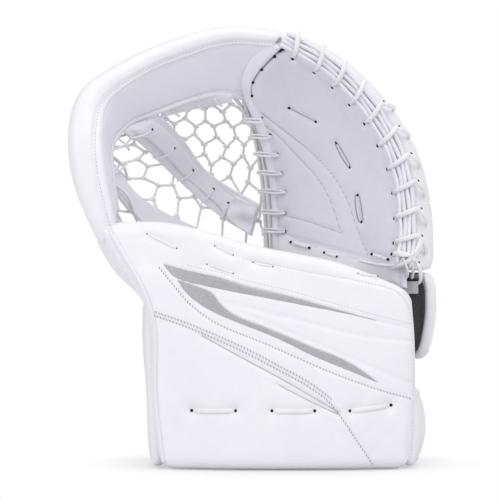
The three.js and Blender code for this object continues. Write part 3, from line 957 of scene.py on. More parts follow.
@dataclass
class Cuff:
    """The padded board over the wrist, with its inserts, seams, lace stitches and wings."""

    width: float = 203.0
    thickness: float = 17.0
    front: float = -78.0
    piping: float = 1.5
    hole_gap: float = 0.9
    lace: Cord = field(default_factory=lambda: Cord(3.9, 2.9))
    stitch_pitch: float = 2.6

    UPPER_TOP = ((-91, 156), (-72, 151), (-51, 146.5), (-26, 139), (4, 132), (43, 121), (70, 113.5))
    UPPER_LOW = ((-91, 156), (-82, 146), (-52, 138), (-22, 132), (4, 127), (43, 119.5), (70, 113.5))
    LOWER_TOP = ((-80, 144), (-68, 140), (-54, 134), (-48, 126), (-38, 118), (-13, 108), (18, 95),
                 (49, 82), (72, 66))
    LOWER_LOW = ((-80, 144), (-76, 137), (-69, 130), (-57, 122), (-37, 113), (-5, 100), (26, 85),
                 (58, 72), (72, 66))
    RAISED_PANEL = ((-110, 150), (-94, 153), (-72, 127), (-52, 112), (-13, 95.5), (34, 75), (73, 60.5),
                    (110, 50), (110, 0), (67, 0), (45, 38), (18, 64), (-35, 92), (-72, 108), (-110, 120))
    SHADOW_LINE = ((70, 113.5), (84, 110), (98, 106.5))
    UPPER_SEAM = ((-98, 117), (-72, 108), (-35, 92), (-4, 76), (18, 64), (34, 52), (45, 38),
                  (55, 23), (67, 5))
    MIDDLE_SEAM = ((-94, 153), (-84, 141), (-72, 127), (-52, 112), (-13, 95.5), (34, 75),
                   (73, 60.5), (96, 54))
    FOLDS = (((-62, 102), (-29, 84), (-1, 69), (28, 52), (42, 44)), ((-4, 65), (18, 53.5), (42, 42)))
    FINE_LINES = (((-43, 127), (8, 114.5), (54, 103), (98, 97)), ((-31, 119), (15, 100), (62, 80), (97, 65)))
    TOP_SEAM = ((-30, 160), (15, 151), (62, 142), (86, 135), (95, 124), (98.5, 100), (98.7, 60), (97.5, 12))
    LACES = (((-69, 45), (-37, 45)), ((-8, 45), (23, 45)), ((51, 45), (81, 49)))
    THIN_STITCHES = (((-104, 179), (-81, 168)), ((-52, 170), (-38, 163)), ((-58, 156), (-38, 149)),
                     ((-23, 157.5), (-8, 154)), ((57, 149), (72, 147)))

    def surface(self) -> Loft:
        """The board's front face, from the bottom end up; its normal points to the wrist."""
        half, y = self.width / 2, self.front
        curl = y + 9
        return Loft(
            ((7 - half, curl, 0), (-50, y + 2, 0), (0, y, 0), (50, y + 2, 0), (half - 5, curl, 0)),
            ((-half, curl, 55), (-50, y, 60), (0, y - 2, 60), (50, y, 58), (half, curl, 52)),
            ((-half - 3, curl, 120), (-52, y, 118), (0, y, 112), (50, y, 108), (half, curl, 98)),
            (
                (-141, -52, 188),
                (-84, y + 8, 187),
                (-16, y + 6, 170),
                (46, y + 5, 157),
                (half - 3, curl + 2, 136),
            ),
        )

    def build(self) -> None:
        """Builds the cuff."""
        surface = self.surface()
        relief = [
            Panel(self._outline(self.UPPER_TOP, self.UPPER_LOW), -1.5, 0.9),
            Panel(self._outline(self.LOWER_TOP, self.LOWER_LOW), -1.5, 0.9),
            Groove(surface.line(self.SHADOW_LINE), 1.3, 1.0),
            Groove(surface.line(self.UPPER_SEAM), 1.6, 1.1),
            Groove(surface.line(self.MIDDLE_SEAM), 1.5, 0.9),
            Groove(surface.line(self.TOP_SEAM), 1.4, 0.7),
            Ripple(0.5, 70, 3),
        ]
        relief += [Groove(surface.line(fold), 1.8, 1.8) for fold in self.FOLDS]
        relief += [Groove(surface.line(line), 1.9, 1.0) for line in self.FINE_LINES]
        sunk = (*self.LACES, *self.THIN_STITCHES)
        relief += [Groove(surface.line(pair, count=6), 3.4, 1.5) for pair in sunk]
        ends = np.vstack([surface.line(pair, count=2) for pair in self.LACES])
        relief.append(Dimples(ends, 6.5, 2.0))
        relief.append(Panel(self.RAISED_PANEL, 1.0, 4.0))
        board = Quilt(self.thickness, 0.6, step=1.35, edge=8.0, corner=13, swell=1.4, relief=relief)
        front = board.build("cuff_board", surface)
        dress(front, Body.CUFF, WHITE_LEATHER, ["cuff_pad", "cuff_diagonal_panel"])
        self._inserts(surface)
        self._sewing(surface, board)
        self._laces(surface, board)
        self._inside(surface)
        self._wings()

    @staticmethod
    def _outline(top: Points, low: Points) -> np.ndarray:
        """A closed outline from a top line and a low line with the same ends."""
        return np.vstack([Surface.spread(top, 30), Surface.spread(low, 30)[-2:0:-1]])

    def _inserts(self, surface: Surface) -> None:
        """The two silver inserts, set into the board."""
        for name, low, top, node in (
            ("upper_silver_insert", self.UPPER_LOW, self.UPPER_TOP, "silver_insert_upper"),
            ("lower_silver_insert", self.LOWER_LOW, self.LOWER_TOP, "silver_insert_lower"),
        ):
            sheet = Quilt(3.2, -0.75, step=1.4, edge=0.5, relief=[Ripple(0.2, 20, 5)])
            dress(sheet.build(name, surface.strip(low, top)), Body.CUFF, SILVER, [node])

    def _sewing(self, surface: Surface, board: Quilt) -> None:
        """The sewn rows, the grey cords of painted shadow in the folds and the piping down the thumb side."""
        rows = [board.trace(surface, line, 0.25, 80) for line in (self.UPPER_SEAM, self.MIDDLE_SEAM)]
        double = [(x + 1.6, z + 2.6) for x, z in self.UPPER_SEAM[:6]]
        rows.append(board.trace(surface, double, 0.25, 70))
        # The sewn rows are grey with painted seam shadow.
        sewn = stitches("cuff_sewn_rows", rows, self.stitch_pitch, stitch=1.9, thread=0.75, slant=0.7)
        dress(sewn, Body.CUFF, SHADOW_THREAD)
        fine = [board.trace(surface, self.TOP_SEAM, 0.15, 80)]
        above = [(x, z + 4) for x, z in (*self.UPPER_TOP[1:], (84, 110), (96, 107))]
        fine.append(board.trace(surface, above, 0.15, 60))
        dress(stitches("cuff_top_stitching", fine, pitch=2.6, stitch=1.7, thread=0.55), Body.CUFF, THREAD_AND_HOLE_SHADE)
        # Grey cords of painted shadow along the folds.
        folds = [board.trace(surface, fold, 0.1, 60) for fold in self.FOLDS]
        dress(cords("cuff_fold_shadows", Cord(1.1, 0.6), folds), Body.CUFF, FOLD_SHADOW)
        # The piping wears the darker leather: painted shade on the roll.
        left = np.linspace(0.03, 0.985, 60)
        piping = board.on_face(surface, row_of(left, 0.022))
        round_cord = Cord(self.piping * 2, self.piping * 2)
        dress(cords("cuff_piping", round_cord, [piping]), Body.CUFF, ROLLED_LEATHER_PAINTED_SHADE)

    def _laces(self, surface: Surface, board: Quilt) -> None:
        """The three lace stitches with painted shade in their holes, and the thin stitches near the top."""
        for index, pair in enumerate(self.LACES, 1):
            path = board.lace(surface, pair)
            lace = cords(f"cuff_lace_stitch_{index}", self.lace, [path], FORWARDS)
            dress(lace, Body.CUFF, LACE, [f"cuff_lace_{index}"])
        gap = self.hole_gap
        past = [((x0 - gap, z0), (x1 + gap, z1)) for (x0, z0), (x1, z1) in self.LACES]
        # Dark discs of painted shade in the lace holes.
        holes = np.vstack([board.trace(surface, pair, 0.25, 2) for pair in past])
        dress(plugs("cuff_lace_hole_shade", holes, FORWARDS, 1.4), Body.CUFF, HOLE_SHADE)
        paths = [board.lace(surface, pair, 0.6, 0.8) for pair in self.THIN_STITCHES]
        # Dark discs of painted shade in the thin stitches' holes.
        ends = np.vstack([board.trace(surface, pair, 0.2, 2) for pair in self.THIN_STITCHES])
        dress(plugs("cuff_thin_stitch_hole_shade", ends, FORWARDS, 0.6), Body.CUFF, HOLE_SHADE)
        dress(cords("cuff_thin_stitches", Cord(1.6, 1.0), paths, FORWARDS), Body.CUFF, LACE)

    def _inside(self, surface: Surface) -> None:
        """The plate and the lining behind the board."""
        behind = surface.part(2 / 12, 10 / 12, 0.1, 0.9)
        lining = Quilt(self.thickness + 3.0, self.thickness + 8.5, step=2.5, corner=14, swell=1.5)
        across = np.linspace(0.04, 0.96, 20)
        quilting = [behind.raised(np.full(20, u), across, 0.025) for u in (0.25, 0.5, 0.75)]
        lining.relief = [Ripple(0.8, 30, 8), *(Groove(path, 2.5, 1.6) for path in quilting)]
        dress(lining.build("cuff_lining", behind), Body.CUFF, LINING, ["cuff_liner"])
        mould_plate("cuff_stiffener")

    def _wings(self) -> None:
        """The two wings round the wrist and the gusset up to the thumb."""
        thumb = Loft(
            ((-99, -56, 1), (-103, -56, 60), (-105, -53, 124)),
            ((-102, -6, 1), (-106, -6, 60), (-109, -4, 134)),
            ((-93, 34, 1), (-97, 34, 60), (-101, 34, 128)),
            ((-62, 47, 1), (-64, 47, 58), (-66, 47, 108)),
        )
        heel = Loft(
            ((99, -56, 1), (102, -56, 30), (100, -55, 62)),
            ((105, -6, 1), (111, -6, 28), (106, -6, 60)),
            ((93, 34, 1), (97, 34, 28), (94, 34, 57)),
            ((58, 47, 1), (60, 47, 28), (58, 47, 54)),
        )
        gusset = Loft(
            ((-105, -53, 122), (-119, -50, 148), (-140, -42, 184)),
            ((-109, -4, 130), (-131, -4, 151), (-148, -4, 182)),
            ((-100.5, 34, 124), (-120, 38, 150), (-137, 41, 178)),
        )
        for name, surface, node, side in (
            ("thumb_wing_pad", thumb, "cuff_wing_thumb", 1),
            ("heel_wing_pad", heel, "cuff_wing_heel", -1),
            ("thumb_gusset_pad", gusset, "thumb_gusset", 1),
        ):
            edge = [surface.raised(u, v, 0.0) for u, v in self._inset(surface)]
            wing = Quilt(8.0 * side, 0.0, step=1.8, corner=6, swell=0.8, relief=[Ripple(0.9, 40, 4)])
            wing.relief += [Groove(path, 1.3, 0.9) for path in edge]
            dress(wing.build(name, surface), Body.CUFF, WHITE_LEATHER, [node])
            rows = [wing.on_face(surface, row_of(*line), 0.1) for line in self._inset(surface)]
            sewn = stitches(name.replace("_pad", "_stitching"), rows, pitch=3.0, stitch=2.0, thread=0.6)
            dress(sewn, Body.CUFF, THREAD_AND_HOLE_SHADE)

    @staticmethod
    def _inset(surface: Surface) -> list[tuple[np.ndarray, np.ndarray]]:
        """A line round a surface, 7 mm inside its edge, as (u, v) stretches."""
        length_u, length_v = surface.lengths()
        a, b = 7 * MM / length_u, 7 * MM / length_v
        u, v = np.linspace(a, 1 - a, 40), np.linspace(b, 1 - b, 40)
        return [(u, np.full(40, b)), (u, np.full(40, 1 - b)), (np.full(40, 1 - a), v)]


# ---------------------------------------------------------------- thumb


@dataclass
class Thumb:
    """The rolled shell round the thumb, the wall that faces the pocket, and the pad over the thumb's back."""

    shell_thickness: float = 9.0
    wall_thickness: float = 5.0

    BACK = ((-128, 40, 176), (-150, 44, 222), (-152, 46, 262), (-145, 50, 287),
            (-114, 56, 308), (-74, 62, 322), (-42, 64, 328), (-10, 60, 329))
    OUTER = ((-140, -6, 171), (-160, -5, 222), (-163, 0, 262), (-155, 6, 290),
             (-120, 14, 316), (-77, 24, 334), (-42, 30, 341), (-1, 31, 338.5))
    CREST = ((-139, -37, 171), (-157, -42, 224), (-159, -36, 262), (-150, -27, 288),
             (-117, -14, 311), (-74, -2, 330), (-42, 5, 338), (0, 8, 335.5))
    STITCH = ((-127, -40, 180), (-136, -42, 228), (-138, -34, 256), (-134, -22, 280),
              (-109, -10, 302), (-69, 2, 319.5), (-42, 8, 327.5), (-7, 10, 326.5))
    WALL_TOP = ((-128, -38, 180), (-137, -40, 228), (-139, -32, 257), (-135, -20, 281),
                (-110, -8, 303), (-70, 4, 320), (-42, 10, 328), (-8, 13, 327))
    WALL_MIDDLE = ((-128, -22, 192), (-135, -16, 227), (-137, -7, 253), (-128, 5, 272),
                   (-103, 16, 286), (-68, 26, 300), (-48, 32, 307), (-23, 36, 308))
    WALL_SEAM = ((-129, -4, 196), (-133, 3, 225), (-134, 13, 249), (-121, 23, 267),
                 (-97, 31, 277), (-66, 40, 288), (-48, 46, 291), (-25, 52, 288))

    def build(self) -> None:
        """Builds the thumb."""
        self._shell()
        self._wall()
        self._back()
        mould_plate("thumb_stiffener")

    def _shell(self) -> None:
        """The rolled shell and its two sewn lines."""
        surface = Loft(self.BACK, self.OUTER, self.CREST, self.STITCH)
        along = np.linspace(0.01, 0.99, 70)
        pad = Quilt(-self.shell_thickness, 0.0, step=1.6, edge=4.2, corner=7, swell=2.2, swell_width=15)
        pad.relief = [
            Groove(surface.points(np.full(70, 0.885), along), 1.5, 1.0),
            Groove(surface.points(np.full(70, 0.36), along), 1.5, 1.1),
            Ripple(0.9, 60, 11),
        ]
        shell = pad.build("thumb_perimeter_shell", surface)
        dress(shell, Body.CUFF, WHITE_LEATHER, ["thumb_shell"])
        rows = [pad.on_face(surface, row_of(u, along), 0.2) for u in (0.9, 0.38)]
        dress(stitches("thumb_stitching", rows, pitch=2.9, stitch=1.9, thread=0.7), Body.CUFF, THREAD_AND_HOLE_SHADE)

    def _wall(self) -> None:
        """The wall from the crest down to the pocket."""
        surface = Loft(self.WALL_TOP, self.WALL_MIDDLE, self.WALL_SEAM)
        along = np.linspace(0, 1, 60)
        pad = Quilt(-self.wall_thickness, 0.0, step=1.8, edge=2.4, swell=1.0)
        pad.relief = [Ripple(1.0, 45, 21), Groove(surface.points(np.full(60, 0.9), along), 1.2, 0.7)]
        # The wall's leather is painted lighter to lift its shade.
        dress(pad.build("thumb_inner_wall", surface), Body.CUFF, WALL_LEATHER_PAINTED_LIGHT, ["thumb_wall"])
        row = pad.on_face(surface, row_of(0.86, along), 0.15)
        dress(stitches("thumb_wall_stitching", [row], pitch=2.8, stitch=1.8, thread=0.55), Body.CUFF, THREAD_AND_HOLE_SHADE)
        # The binding wears the darker leather: painted shade on the roll.
        edge = surface.points(np.full(60, 0.995), along)
        dress(cords("thumb_wall_binding", Cord(5.2, 4.2), [edge]), Body.CUFF, ROLLED_LEATHER_PAINTED_SHADE)

    def _back(self) -> None:
        """The stuffed pad over the thumb's back, which closes the thumb between the shell and the pocket."""
        surface = Loft(
            [(x * 0.985, y - 4, z - 3) for x, y, z in self.BACK],
            ((-133, 38, 190), (-141, 44, 224), (-139, 50, 256), (-130, 56, 278),
             (-104, 64, 294), (-68, 70, 307), (-44, 71, 313), (-22, 66, 314)),
            [(x, y + 5, z) for x, y, z in self.WALL_SEAM],
        )
        pad = Quilt(4.0, 0.0, step=2.4, edge=2.0, swell=2.5, relief=[Ripple(1.2, 40, 31)])
        for v in (0.3, 0.5, 0.7):
            pad.relief.append(Groove(surface.points(np.linspace(0, 1, 20), np.full(20, v)), 2.4, 1.6))
        dress(pad.build("thumb_back_pad", surface), Body.CUFF, WHITE_LEATHER)


# ---------------------------------------------------------------- pocket


@dataclass
class Pocket:
    """The knotted net, its border cords and the leather bands over it."""

    cord: Cord = field(default_factory=lambda: Cord(2.0, 2.0, sides=7, spacing=2.4))
    cell: float = 9.9
    lean: float = -17.0
    uneven: float = 0.19
    seed: int = 5
    cells: int = 34
    width: float = 112.0
    height: float = 108.0
    middle: tuple[float, float] = (55.0, 52.0)
    BEND_FROM = (-0.112, 0.030, 0.235)
    BEND_TO = (-0.036, 0.062, 0.225)

    STRAP_TOP = ((-106, 280), (-94, 272), (-80, 257), (-62, 233), (-39, 217), (-16, 204))
    STRAP_LOW = ((-131, 262), (-117, 254), (-98, 236), (-76, 215), (-53, 196), (-23, 178))
    TOP_BAND = (((-98, 274), (-68, 282), (-40, 287)), ((-94, 280), (-66, 290), (-38, 295)))
    LOW_BAND = (((-137, 222), (-130, 207), (-115, 190), (-88, 174)),
                ((-134, 234), (-121, 215), (-103, 200), (-70, 184)))
    STRAP_LACES = (0.12, 0.34, 0.52, 0.7, 0.84)
    CROSSED_LACES = ((0.16, 0.36, 0.1), (0.36, 0.2, 0.1), (0.42, 0.66, 0.09), (0.66, 0.5, 0.09),
                     (0.72, 0.92, 0.12))
    TOP_LACES = (0.2, 0.42, 0.62, 0.8)

    def surface(self) -> Loft:
        """The net's bowl: u runs down it, v from the thumb to the palm; its normal is the catching side."""
        return Loft(
            ((-128, 24, 263), (-98, 35, 278), (-66, 43, 288), (-40, 47, 293)),
            ((-137, 16, 247), (-92, 68, 252), (-56, 86, 258), (-25, 66, 268)),
            ((-138, 8, 224), (-90, 84, 222), (-52, 104, 222), (-17, 80, 232)),
            ((-134, -1, 192), (-92, 56, 172), (-50, 92, 158), (-10, 92, 160)),
        )

    def build(self) -> None:
        """Builds the pocket."""
        surface = self.surface()
        self._net(surface)
        self._straps(surface)
        self._side_laces(surface)

    def _bend(self, obj: bpy.types.Object, finish: Finish, nodes: Sequence[str] = ()) -> None:
        """Gives a piece of the pocket its finish, hides the frame's nodes that it replaces and bakes its
        place into its mesh.
        """
        obj.data.materials.clear()
        obj.data.materials.append(finish.material())
        if nodes:
            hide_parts(*nodes)
        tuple(self.BEND_FROM)
        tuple(self.BEND_TO)
        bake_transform(obj)
        LOG.info("%s: %d faces, bending", obj.name, len(obj.data.polygons))

    def _lattice(self) -> tuple[np.ndarray, list[tuple[int, int]]]:
        """Lays out a six-sided net with uneven cells.

        Returns:
            The knots as (across, down) in millimetres, and the pairs of knots that are joined.
        """
        source = np.random.default_rng(self.seed)
        half = self.cell * math.sqrt(3) / 2
        knots, index = [], {}
        turn = math.radians(self.lean)
        for i in range(-self.cells // 2, self.cells // 2):
            for j in range(-self.cells // 2, self.cells // 2):
                rise = 0.0 if (i + j) % 2 == 0 else 0.5 * self.cell
                x, y = j * half, 1.5 * self.cell * i + rise
                index[i, j] = len(knots)
                shake = source.uniform(-self.uneven, self.uneven, 2) * self.cell
                across = x * math.cos(turn) - y * math.sin(turn) + self.middle[0]
                down = -x * math.sin(turn) - y * math.cos(turn) + self.middle[1]
                knots.append((across + shake[0], down + shake[1]))
        pairs = [(index[i, j], index[i, j + 1]) for i, j in index if (i, j + 1) in index]
        pairs += [(index[i, j], index[i + 1, j]) for i, j in index if (i + j) % 2 and (i + 1, j) in index]
        return np.array(knots), pairs

    def _net(self, surface: Loft) -> None:
        """The cords, the knots and the border cord."""
        knots, pairs = self._lattice()
        places = knots / np.array([self.width, self.height])
        inside = np.all((places > 0.0) & (places < 1.0), axis=1)
        paths, joined = [], set()
        for a, b in pairs:
            if not (inside[a] or inside[b]):
                continue
            steps = np.linspace(places[a], places[b], 25)
            kept = steps[np.all((steps >= 0.0) & (steps <= 1.0), axis=1)]
            if len(kept) < 4:
                continue
            joined.update(k for k in (a, b) if inside[k])
            paths.append(surface.raised(kept[:, 1], kept[:, 0], -1.5 * MM))
        meshes = [self.cord.mesh(path) for path in paths]
        for k in sorted(joined):
            ahead = np.clip(places[k] + (0.012, 0.006), 0, 1)
            both = np.array([places[k], ahead])
            ends = surface.raised(both[:, 1], both[:, 0], -1.3 * MM)
            meshes.append(self._knot(ends[0], ends[1] - ends[0]))
        loop = np.linspace(0, 1, 60)
        low, high = np.full(60, 0.004), np.full(60, 0.996)
        for u, v in ((low, loop), (high, loop), (loop, low), (loop, high)):
            meshes.append(Cord(3.2, 3.2, sides=8).mesh(surface.raised(u, v, -1.3 * MM)))
        net = outwards(make_object("knotted_net", join_meshes(meshes)))
        self._bend(net, NET_CORD, ["pocket_net"])

    @staticmethod
    def _knot(centre: np.ndarray, along: np.ndarray) -> Mesh:
        """A knot: two turns of cord pulled tight round the net's cord."""
        along = along / np.linalg.norm(along)
        across = np.cross(along, [0.0, 1.0, 0.0])
        across /= np.linalg.norm(across)
        up = np.cross(along, across)
        turns = np.linspace(0, 2 * math.pi, 9)[:-1]
        circle = np.cos(turns)[:, None] * across + np.sin(turns)[:, None] * up
        profile = ((-3.0, 0.4), (-2.6, 1.15), (-1.7, 1.65), (-1.0, 1.7), (-0.2, 1.35), (0.7, 1.7),
                   (1.5, 1.7), (2.4, 1.15), (2.9, 0.4))
        return tube_faces(np.array([centre + along * x * MM + circle * r * MM for x, r in profile]))

    def _straps(self, surface: Loft) -> None:
        """The broad band in two layers, and the bands along the top and the bottom of the net."""
        broad = surface.strip(self.STRAP_LOW, self.STRAP_TOP)
        across = np.linspace(0, 1, 50)

        def ridge(u: float, depth: float, width: float = 1.6) -> Groove:
            """A groove along the band at one u."""
            return Groove(broad.points(np.full(50, u), across), width, depth)

        base = Quilt(0.6, 3.6, step=1.5, edge=1.4, swell=0.8)
        base.relief = [ridge(0.18, 0.9), ridge(0.9, 0.9), Ripple(1.3, 26, 41)]
        self._bend(base.build("broad_strap", broad), STRAP_LEATHER, ["centre_strap"])
        cover = Quilt(3.6, 6.4, step=1.5, edge=1.3, swell=1.0, swell_width=8)
        cover.relief = [ridge(0.5, 1.0, 1.2), Ripple(1.2, 22, 43)]
        upper = cover.build("broad_strap_cover", broad.part(0.22, 0.8, 0.04, 0.93))
        self._bend(upper, STRAP_LEATHER, ["centre_strap_cover"])
        fold = Quilt(6.2, 8.8, step=1.2, edge=1.2, swell=1.2, swell_width=6)
        fold.relief = [Ripple(3.4, 9, 47)]
        self._bend(fold.build("strap_end_fold", broad.part(0.05, 0.95, 0.86, 1.0)), STRAP_LEATHER)
        for name, edges in (("top_strap", self.TOP_BAND), ("low_strap", self.LOW_BAND)):
            band = Quilt(0.6, 3.2, step=1.6, edge=1.2, swell=0.6, relief=[Ripple(1.0, 20, 51)])
            self._bend(band.build(name, surface.strip(*edges)), STRAP_LEATHER, [f"pocket_{name}"])
        self._bridge()
        lace = Cord(2.6, 1.7)
        paths, holes = [], []
        for v in self.STRAP_LACES:
            u, same = np.linspace(-0.06, 0.55, 16), np.full(16, v)
            lift = 6.0 + 2.4 * np.clip(u / 0.3, 0, 1) - 6 * np.clip(-u / 0.06, 0, 1)
            lift[-1] -= 3.0
            paths.append(broad.raised(np.clip(u, 0, 1), same, lift * MM))
            holes.append(broad.raised(np.array([0.57]), np.array([v]), 7.6 * MM)[0])
        self._bend(cords("strap_laces", lace, paths), LACE)
        # Dark discs of painted shade in the strap's lace holes.
        self._bend(plugs("strap_lace_hole_shade", np.array(holes), FORWARDS, 1.3), HOLE_SHADE)

    def _bridge(self) -> None:
        """The soft leather between the thumb shell and the finger shell, over the top of the hinge."""
        surface = Loft(
            ((-16, 20, 330), (0, 21, 328), (16, 22, 324)),
            ((-17, 40, 332), (0, 41, 331), (16, 42, 325)),
            ((-18, 58, 325), (0, 62, 322), (16, 64, 316)),
            ((-18, 66, 312), (-2, 76, 306), (14, 82, 300)),
        )
        bridge = Quilt(-1.5, 1.5, step=1.8, edge=1.0, swell=0.6, relief=[Ripple(1.2, 16, 49)])
        self._bend(bridge.build("hinge_bridge", surface), STRAP_LEATHER)

    def _side_laces(self, surface: Loft) -> None:
        """The laces that cross between the thumb wall and the net."""
        lace = Cord(2.6, 1.8)

        def over(u: float, v: float, lift: float) -> np.ndarray:
            """A point over the net, raised by a lift in millimetres."""
            return surface.raised(np.array([u]), np.array([v]), lift * MM)[0]

        paths = []
        for u0, u1, v1 in self.CROSSED_LACES:
            ends = [over(u0, 0.0, 4.0), over((u0 + u1) / 2, v1 / 2, 7.0), over(u1, v1, 3.0)]
            paths.append(catmull(np.array(ends), np.linspace(0, 1, 16)))
        for v0 in self.TOP_LACES:
            ends = [over(0.0, v0, 3.5), over(0.04, v0 + 0.03, 5.0), over(0.09, v0 + 0.05, 1.5)]
            paths.append(catmull(np.array(ends), np.linspace(0, 1, 12)))
        self._bend(cords("net_side_laces", lace, paths), LACE)


# ---------------------------------------------------------------- fingers


@dataclass
class Palm:
    """The sewn palm with its heel band, its rolled binding and its lace stitches."""

    thickness: float = 4.5
    lace: Cord = field(default_factory=lambda: Cord(2.6, 1.6))

    EDGE = ((-5, 18, 320), (-20.5, 30, 304), (-26, 44, 288), (-15, 58, 265), (-8, 72, 234), (-4, 80, 202),
            (-2, 82, 172), (-1, 80, 150))
    INNER = ((-1, 18, 321), (1, 36, 305), (9, 52, 283), (19, 62, 256), (25, 68, 225), (29, 68, 198),
             (31, 62, 167), (32, 56, 146))
    OUTER = ((3, 16, 323), (21, 28, 309), (39, 40, 288), (53, 46, 260), (61, 46, 227), (65, 42, 196),
             (66, 36, 162), (67, 24, 136))
    RIM = ((7, 12, 322), (32, 13, 308), (55, 16, 288), (75, 18, 261), (89, 16, 231), (94, 11, 200),
           (94, 3, 168), (96, -3, 137))
    BINDING_OUT = ((-11, 12, 331), (-24, 22, 319), (-32, 34, 303), (-30, 46, 288), (-22, 58, 268),
                   (-12, 73, 234), (-8, 81, 202), (-7, 83, 165))
    BINDING_IN = ((1, 12, 327), (-13, 22, 314), (-23, 34, 300), (-23, 46, 286), (-14, 56, 266),
                  (-6, 70, 234), (-3, 79, 202), (-2, 81, 165))
    OUTER_SEAM = ((-17, 277), (2, 263), (24, 246), (40, 229), (52, 209), (59, 189), (69, 162))
    INNER_SEAM = ((-17, 269), (-3, 259), (15, 241), (29, 226), (39, 209), (49, 180))
    LEAF_SEAM = ((3, 195), (23, 189.5), (49, 180))
    HEEL_SEAM = ((-6, 182), (23, 173.5), (61, 162), (72, 159))
    HEEL_LOW = ((-4, 156), (28, 152), (60, 146), (92, 140))
    HEEL_TOP = ((-4, 181), (23, 172.5), (61, 161), (92, 153))
    STITCHES = (((6, 281), (28, 270)), ((44, 253), (55, 233)), ((61, 211), (64, 189)))
    HEEL_STITCHES = (((9, 173), (24, 168)), ((36, 164), (46, 160.5)), ((73, 163), (85, 159)))
    POCKET_HOLES = ((-16, 272), (-9, 259), (-3, 244), (0, 229), (3, 214), (3, 197), (3, 182))
    TOP_HOLES = ((-7, 319), (-17, 309.5), (-25, 300), (-24, 290))

    def surface(self) -> Loft:
        """The palm's face: u from the pocket to the rim, v from the top down. Its normal faces the hand."""
        return Loft(self.EDGE, self.INNER, self.OUTER, self.RIM)

    def build(self) -> None:
        """Builds the palm."""
        surface = self.surface()
        pad = Quilt(self.thickness, 0.0, step=1.5, edge=2.2, swell=2.0, swell_width=22)
        pad.relief = [Ripple(0.9, 55, 61)]
        for seam in (self.OUTER_SEAM, self.INNER_SEAM, self.LEAF_SEAM, self.HEEL_SEAM):
            pad.relief.append(Groove(surface.line(seam), 1.1, 0.8))
        pad.relief.append(Groove(surface.line(self.OUTER_SEAM), 9.0, 1.0))
        sunk = (*self.STITCHES, *self.HEEL_STITCHES)
        pad.relief += [Groove(surface.line(pair, count=8), 2.4, 1.8) for pair in sunk]
        holes = surface.find([*Rim().inner_holes(), *self.POCKET_HOLES])
        holes = surface.points(holes[:, 0], holes[:, 1])
        pad.relief.append(Dimples(holes, 3.2, 1.5))
        dress(pad.build("palm_face", surface), Body.FINGERS, PALM_LEATHER, ["palm_panel"])
        self._heel(surface)
        self._binding()
        self._sewing(surface, pad)
        self._lining(surface)

    def _heel(self, surface: Loft) -> None:
        """The band across the heel, over the palm's lower end."""
        band = Quilt(0.5, -1.6, step=1.5, edge=1.0, swell=0.8, swell_width=8, relief=[Ripple(0.7, 24, 63)])
        heel = band.build("heel_band", surface.strip(self.HEEL_LOW, self.HEEL_TOP))
        dress(heel, Body.FINGERS, STRAP_LEATHER, ["palm_heel_band"])

    def _binding(self) -> None:
        """The rolled binding along the pocket's edge."""
        surface = Loft(self.BINDING_OUT, self.BINDING_IN)
        along = np.linspace(0, 1, 60)
        roll = Quilt(4.0, -1.0, step=1.2, edge=2.6, swell=1.4, swell_width=5, relief=[Ripple(0.5, 25, 65)])
        roll.relief.append(Groove(surface.points(np.full(60, 0.86), along), 0.9, 0.7))
        binding = roll.build("pocket_edge_binding", surface)
        dress(binding, Body.FINGERS, STRAP_LEATHER, ["palm_binding"])

    def _sewing(self, surface: Loft, pad: Quilt) -> None:
        """Lace stitches on the heel, painted shadow for the sunk stitches and seams, and painted shade in the
        lace holes.
        """
        thin = Cord(0.8, 0.7)
        # The sunk stitches are drawn as dark cords of painted shadow round their grooves.
        for index, (pair, width) in enumerate(zip(self.STITCHES, (0.0, 1.3, 2.6)), 1):
            (x0, z0), (x1, z1) = pair
            side = np.array([z1 - z0, x0 - x1]) / math.hypot(x1 - x0, z1 - z0) * width / 2
            lines = [pair]
            if width:
                lines = [((x0, z0), (x0 + x, z0 + z), (x1 + x, z1 + z), (x1, z1)) for x, z in (side, -side)]
            paths = [pad.trace(surface, line, 0.1, 30) for line in lines]
            stitch = cords(f"palm_stitch_shadow_{index}", thin, paths, FORWARDS)
            dress(stitch, Body.FINGERS, SUNK_LACE_SHADOW, [f"palm_lace_{index}"])
        # The top lacing is drawn as painted shadow too.
        top = [pad.trace(surface, pair, 0.1, 14) for pair in zip(self.TOP_HOLES[:-1], self.TOP_HOLES[1:])]
        dress(cords("palm_top_lacing_shadow", thin, top, FORWARDS), Body.FINGERS, SUNK_LACE_SHADOW)
        for index, pair in enumerate(self.HEEL_STITCHES, 1):
            path = pad.lace(surface, pair, 2.9, 0.2)
            stitch = cords(f"heel_stitch_{index}", self.lace, [path], FORWARDS)
            dress(stitch, Body.FINGERS, LACE, [f"heel_lace_{index}"])
        # Thin grey cords along the seams: painted shadow of the seams' folded edges.
        seams = (self.OUTER_SEAM, self.INNER_SEAM, self.LEAF_SEAM)
        rows = [pad.trace(surface, seam, 0.1, 80) for seam in seams]
        dress(cords("palm_seam_painted_shadow", Cord(0.65, 0.5), rows), Body.FINGERS, SHADOW_THREAD)
        # Dark discs of painted shade in the palm's lace holes.
        seen = [*Rim().inner_holes(), *self.POCKET_HOLES, *self.TOP_HOLES]
        seen += [end for pair in self.STITCHES for end in pair]
        where = surface.find(seen)
        facing = -surface.normals(where[:, 0], where[:, 1])
        dress(plugs("palm_lace_hole_shade", pad.on_face(surface, where, 0.3), facing, 1.5), Body.FINGERS, HOLE_SHADE)
        # Dark discs of painted shade in the heel's lace holes.
        ends = [end for pair in self.HEEL_STITCHES for end in pair]
        heel = pad.on_face(surface, surface.find(ends), 2.7)
        dress(plugs("heel_lace_hole_shade", heel, FORWARDS, 1.2), Body.FINGERS, HOLE_SHADE)

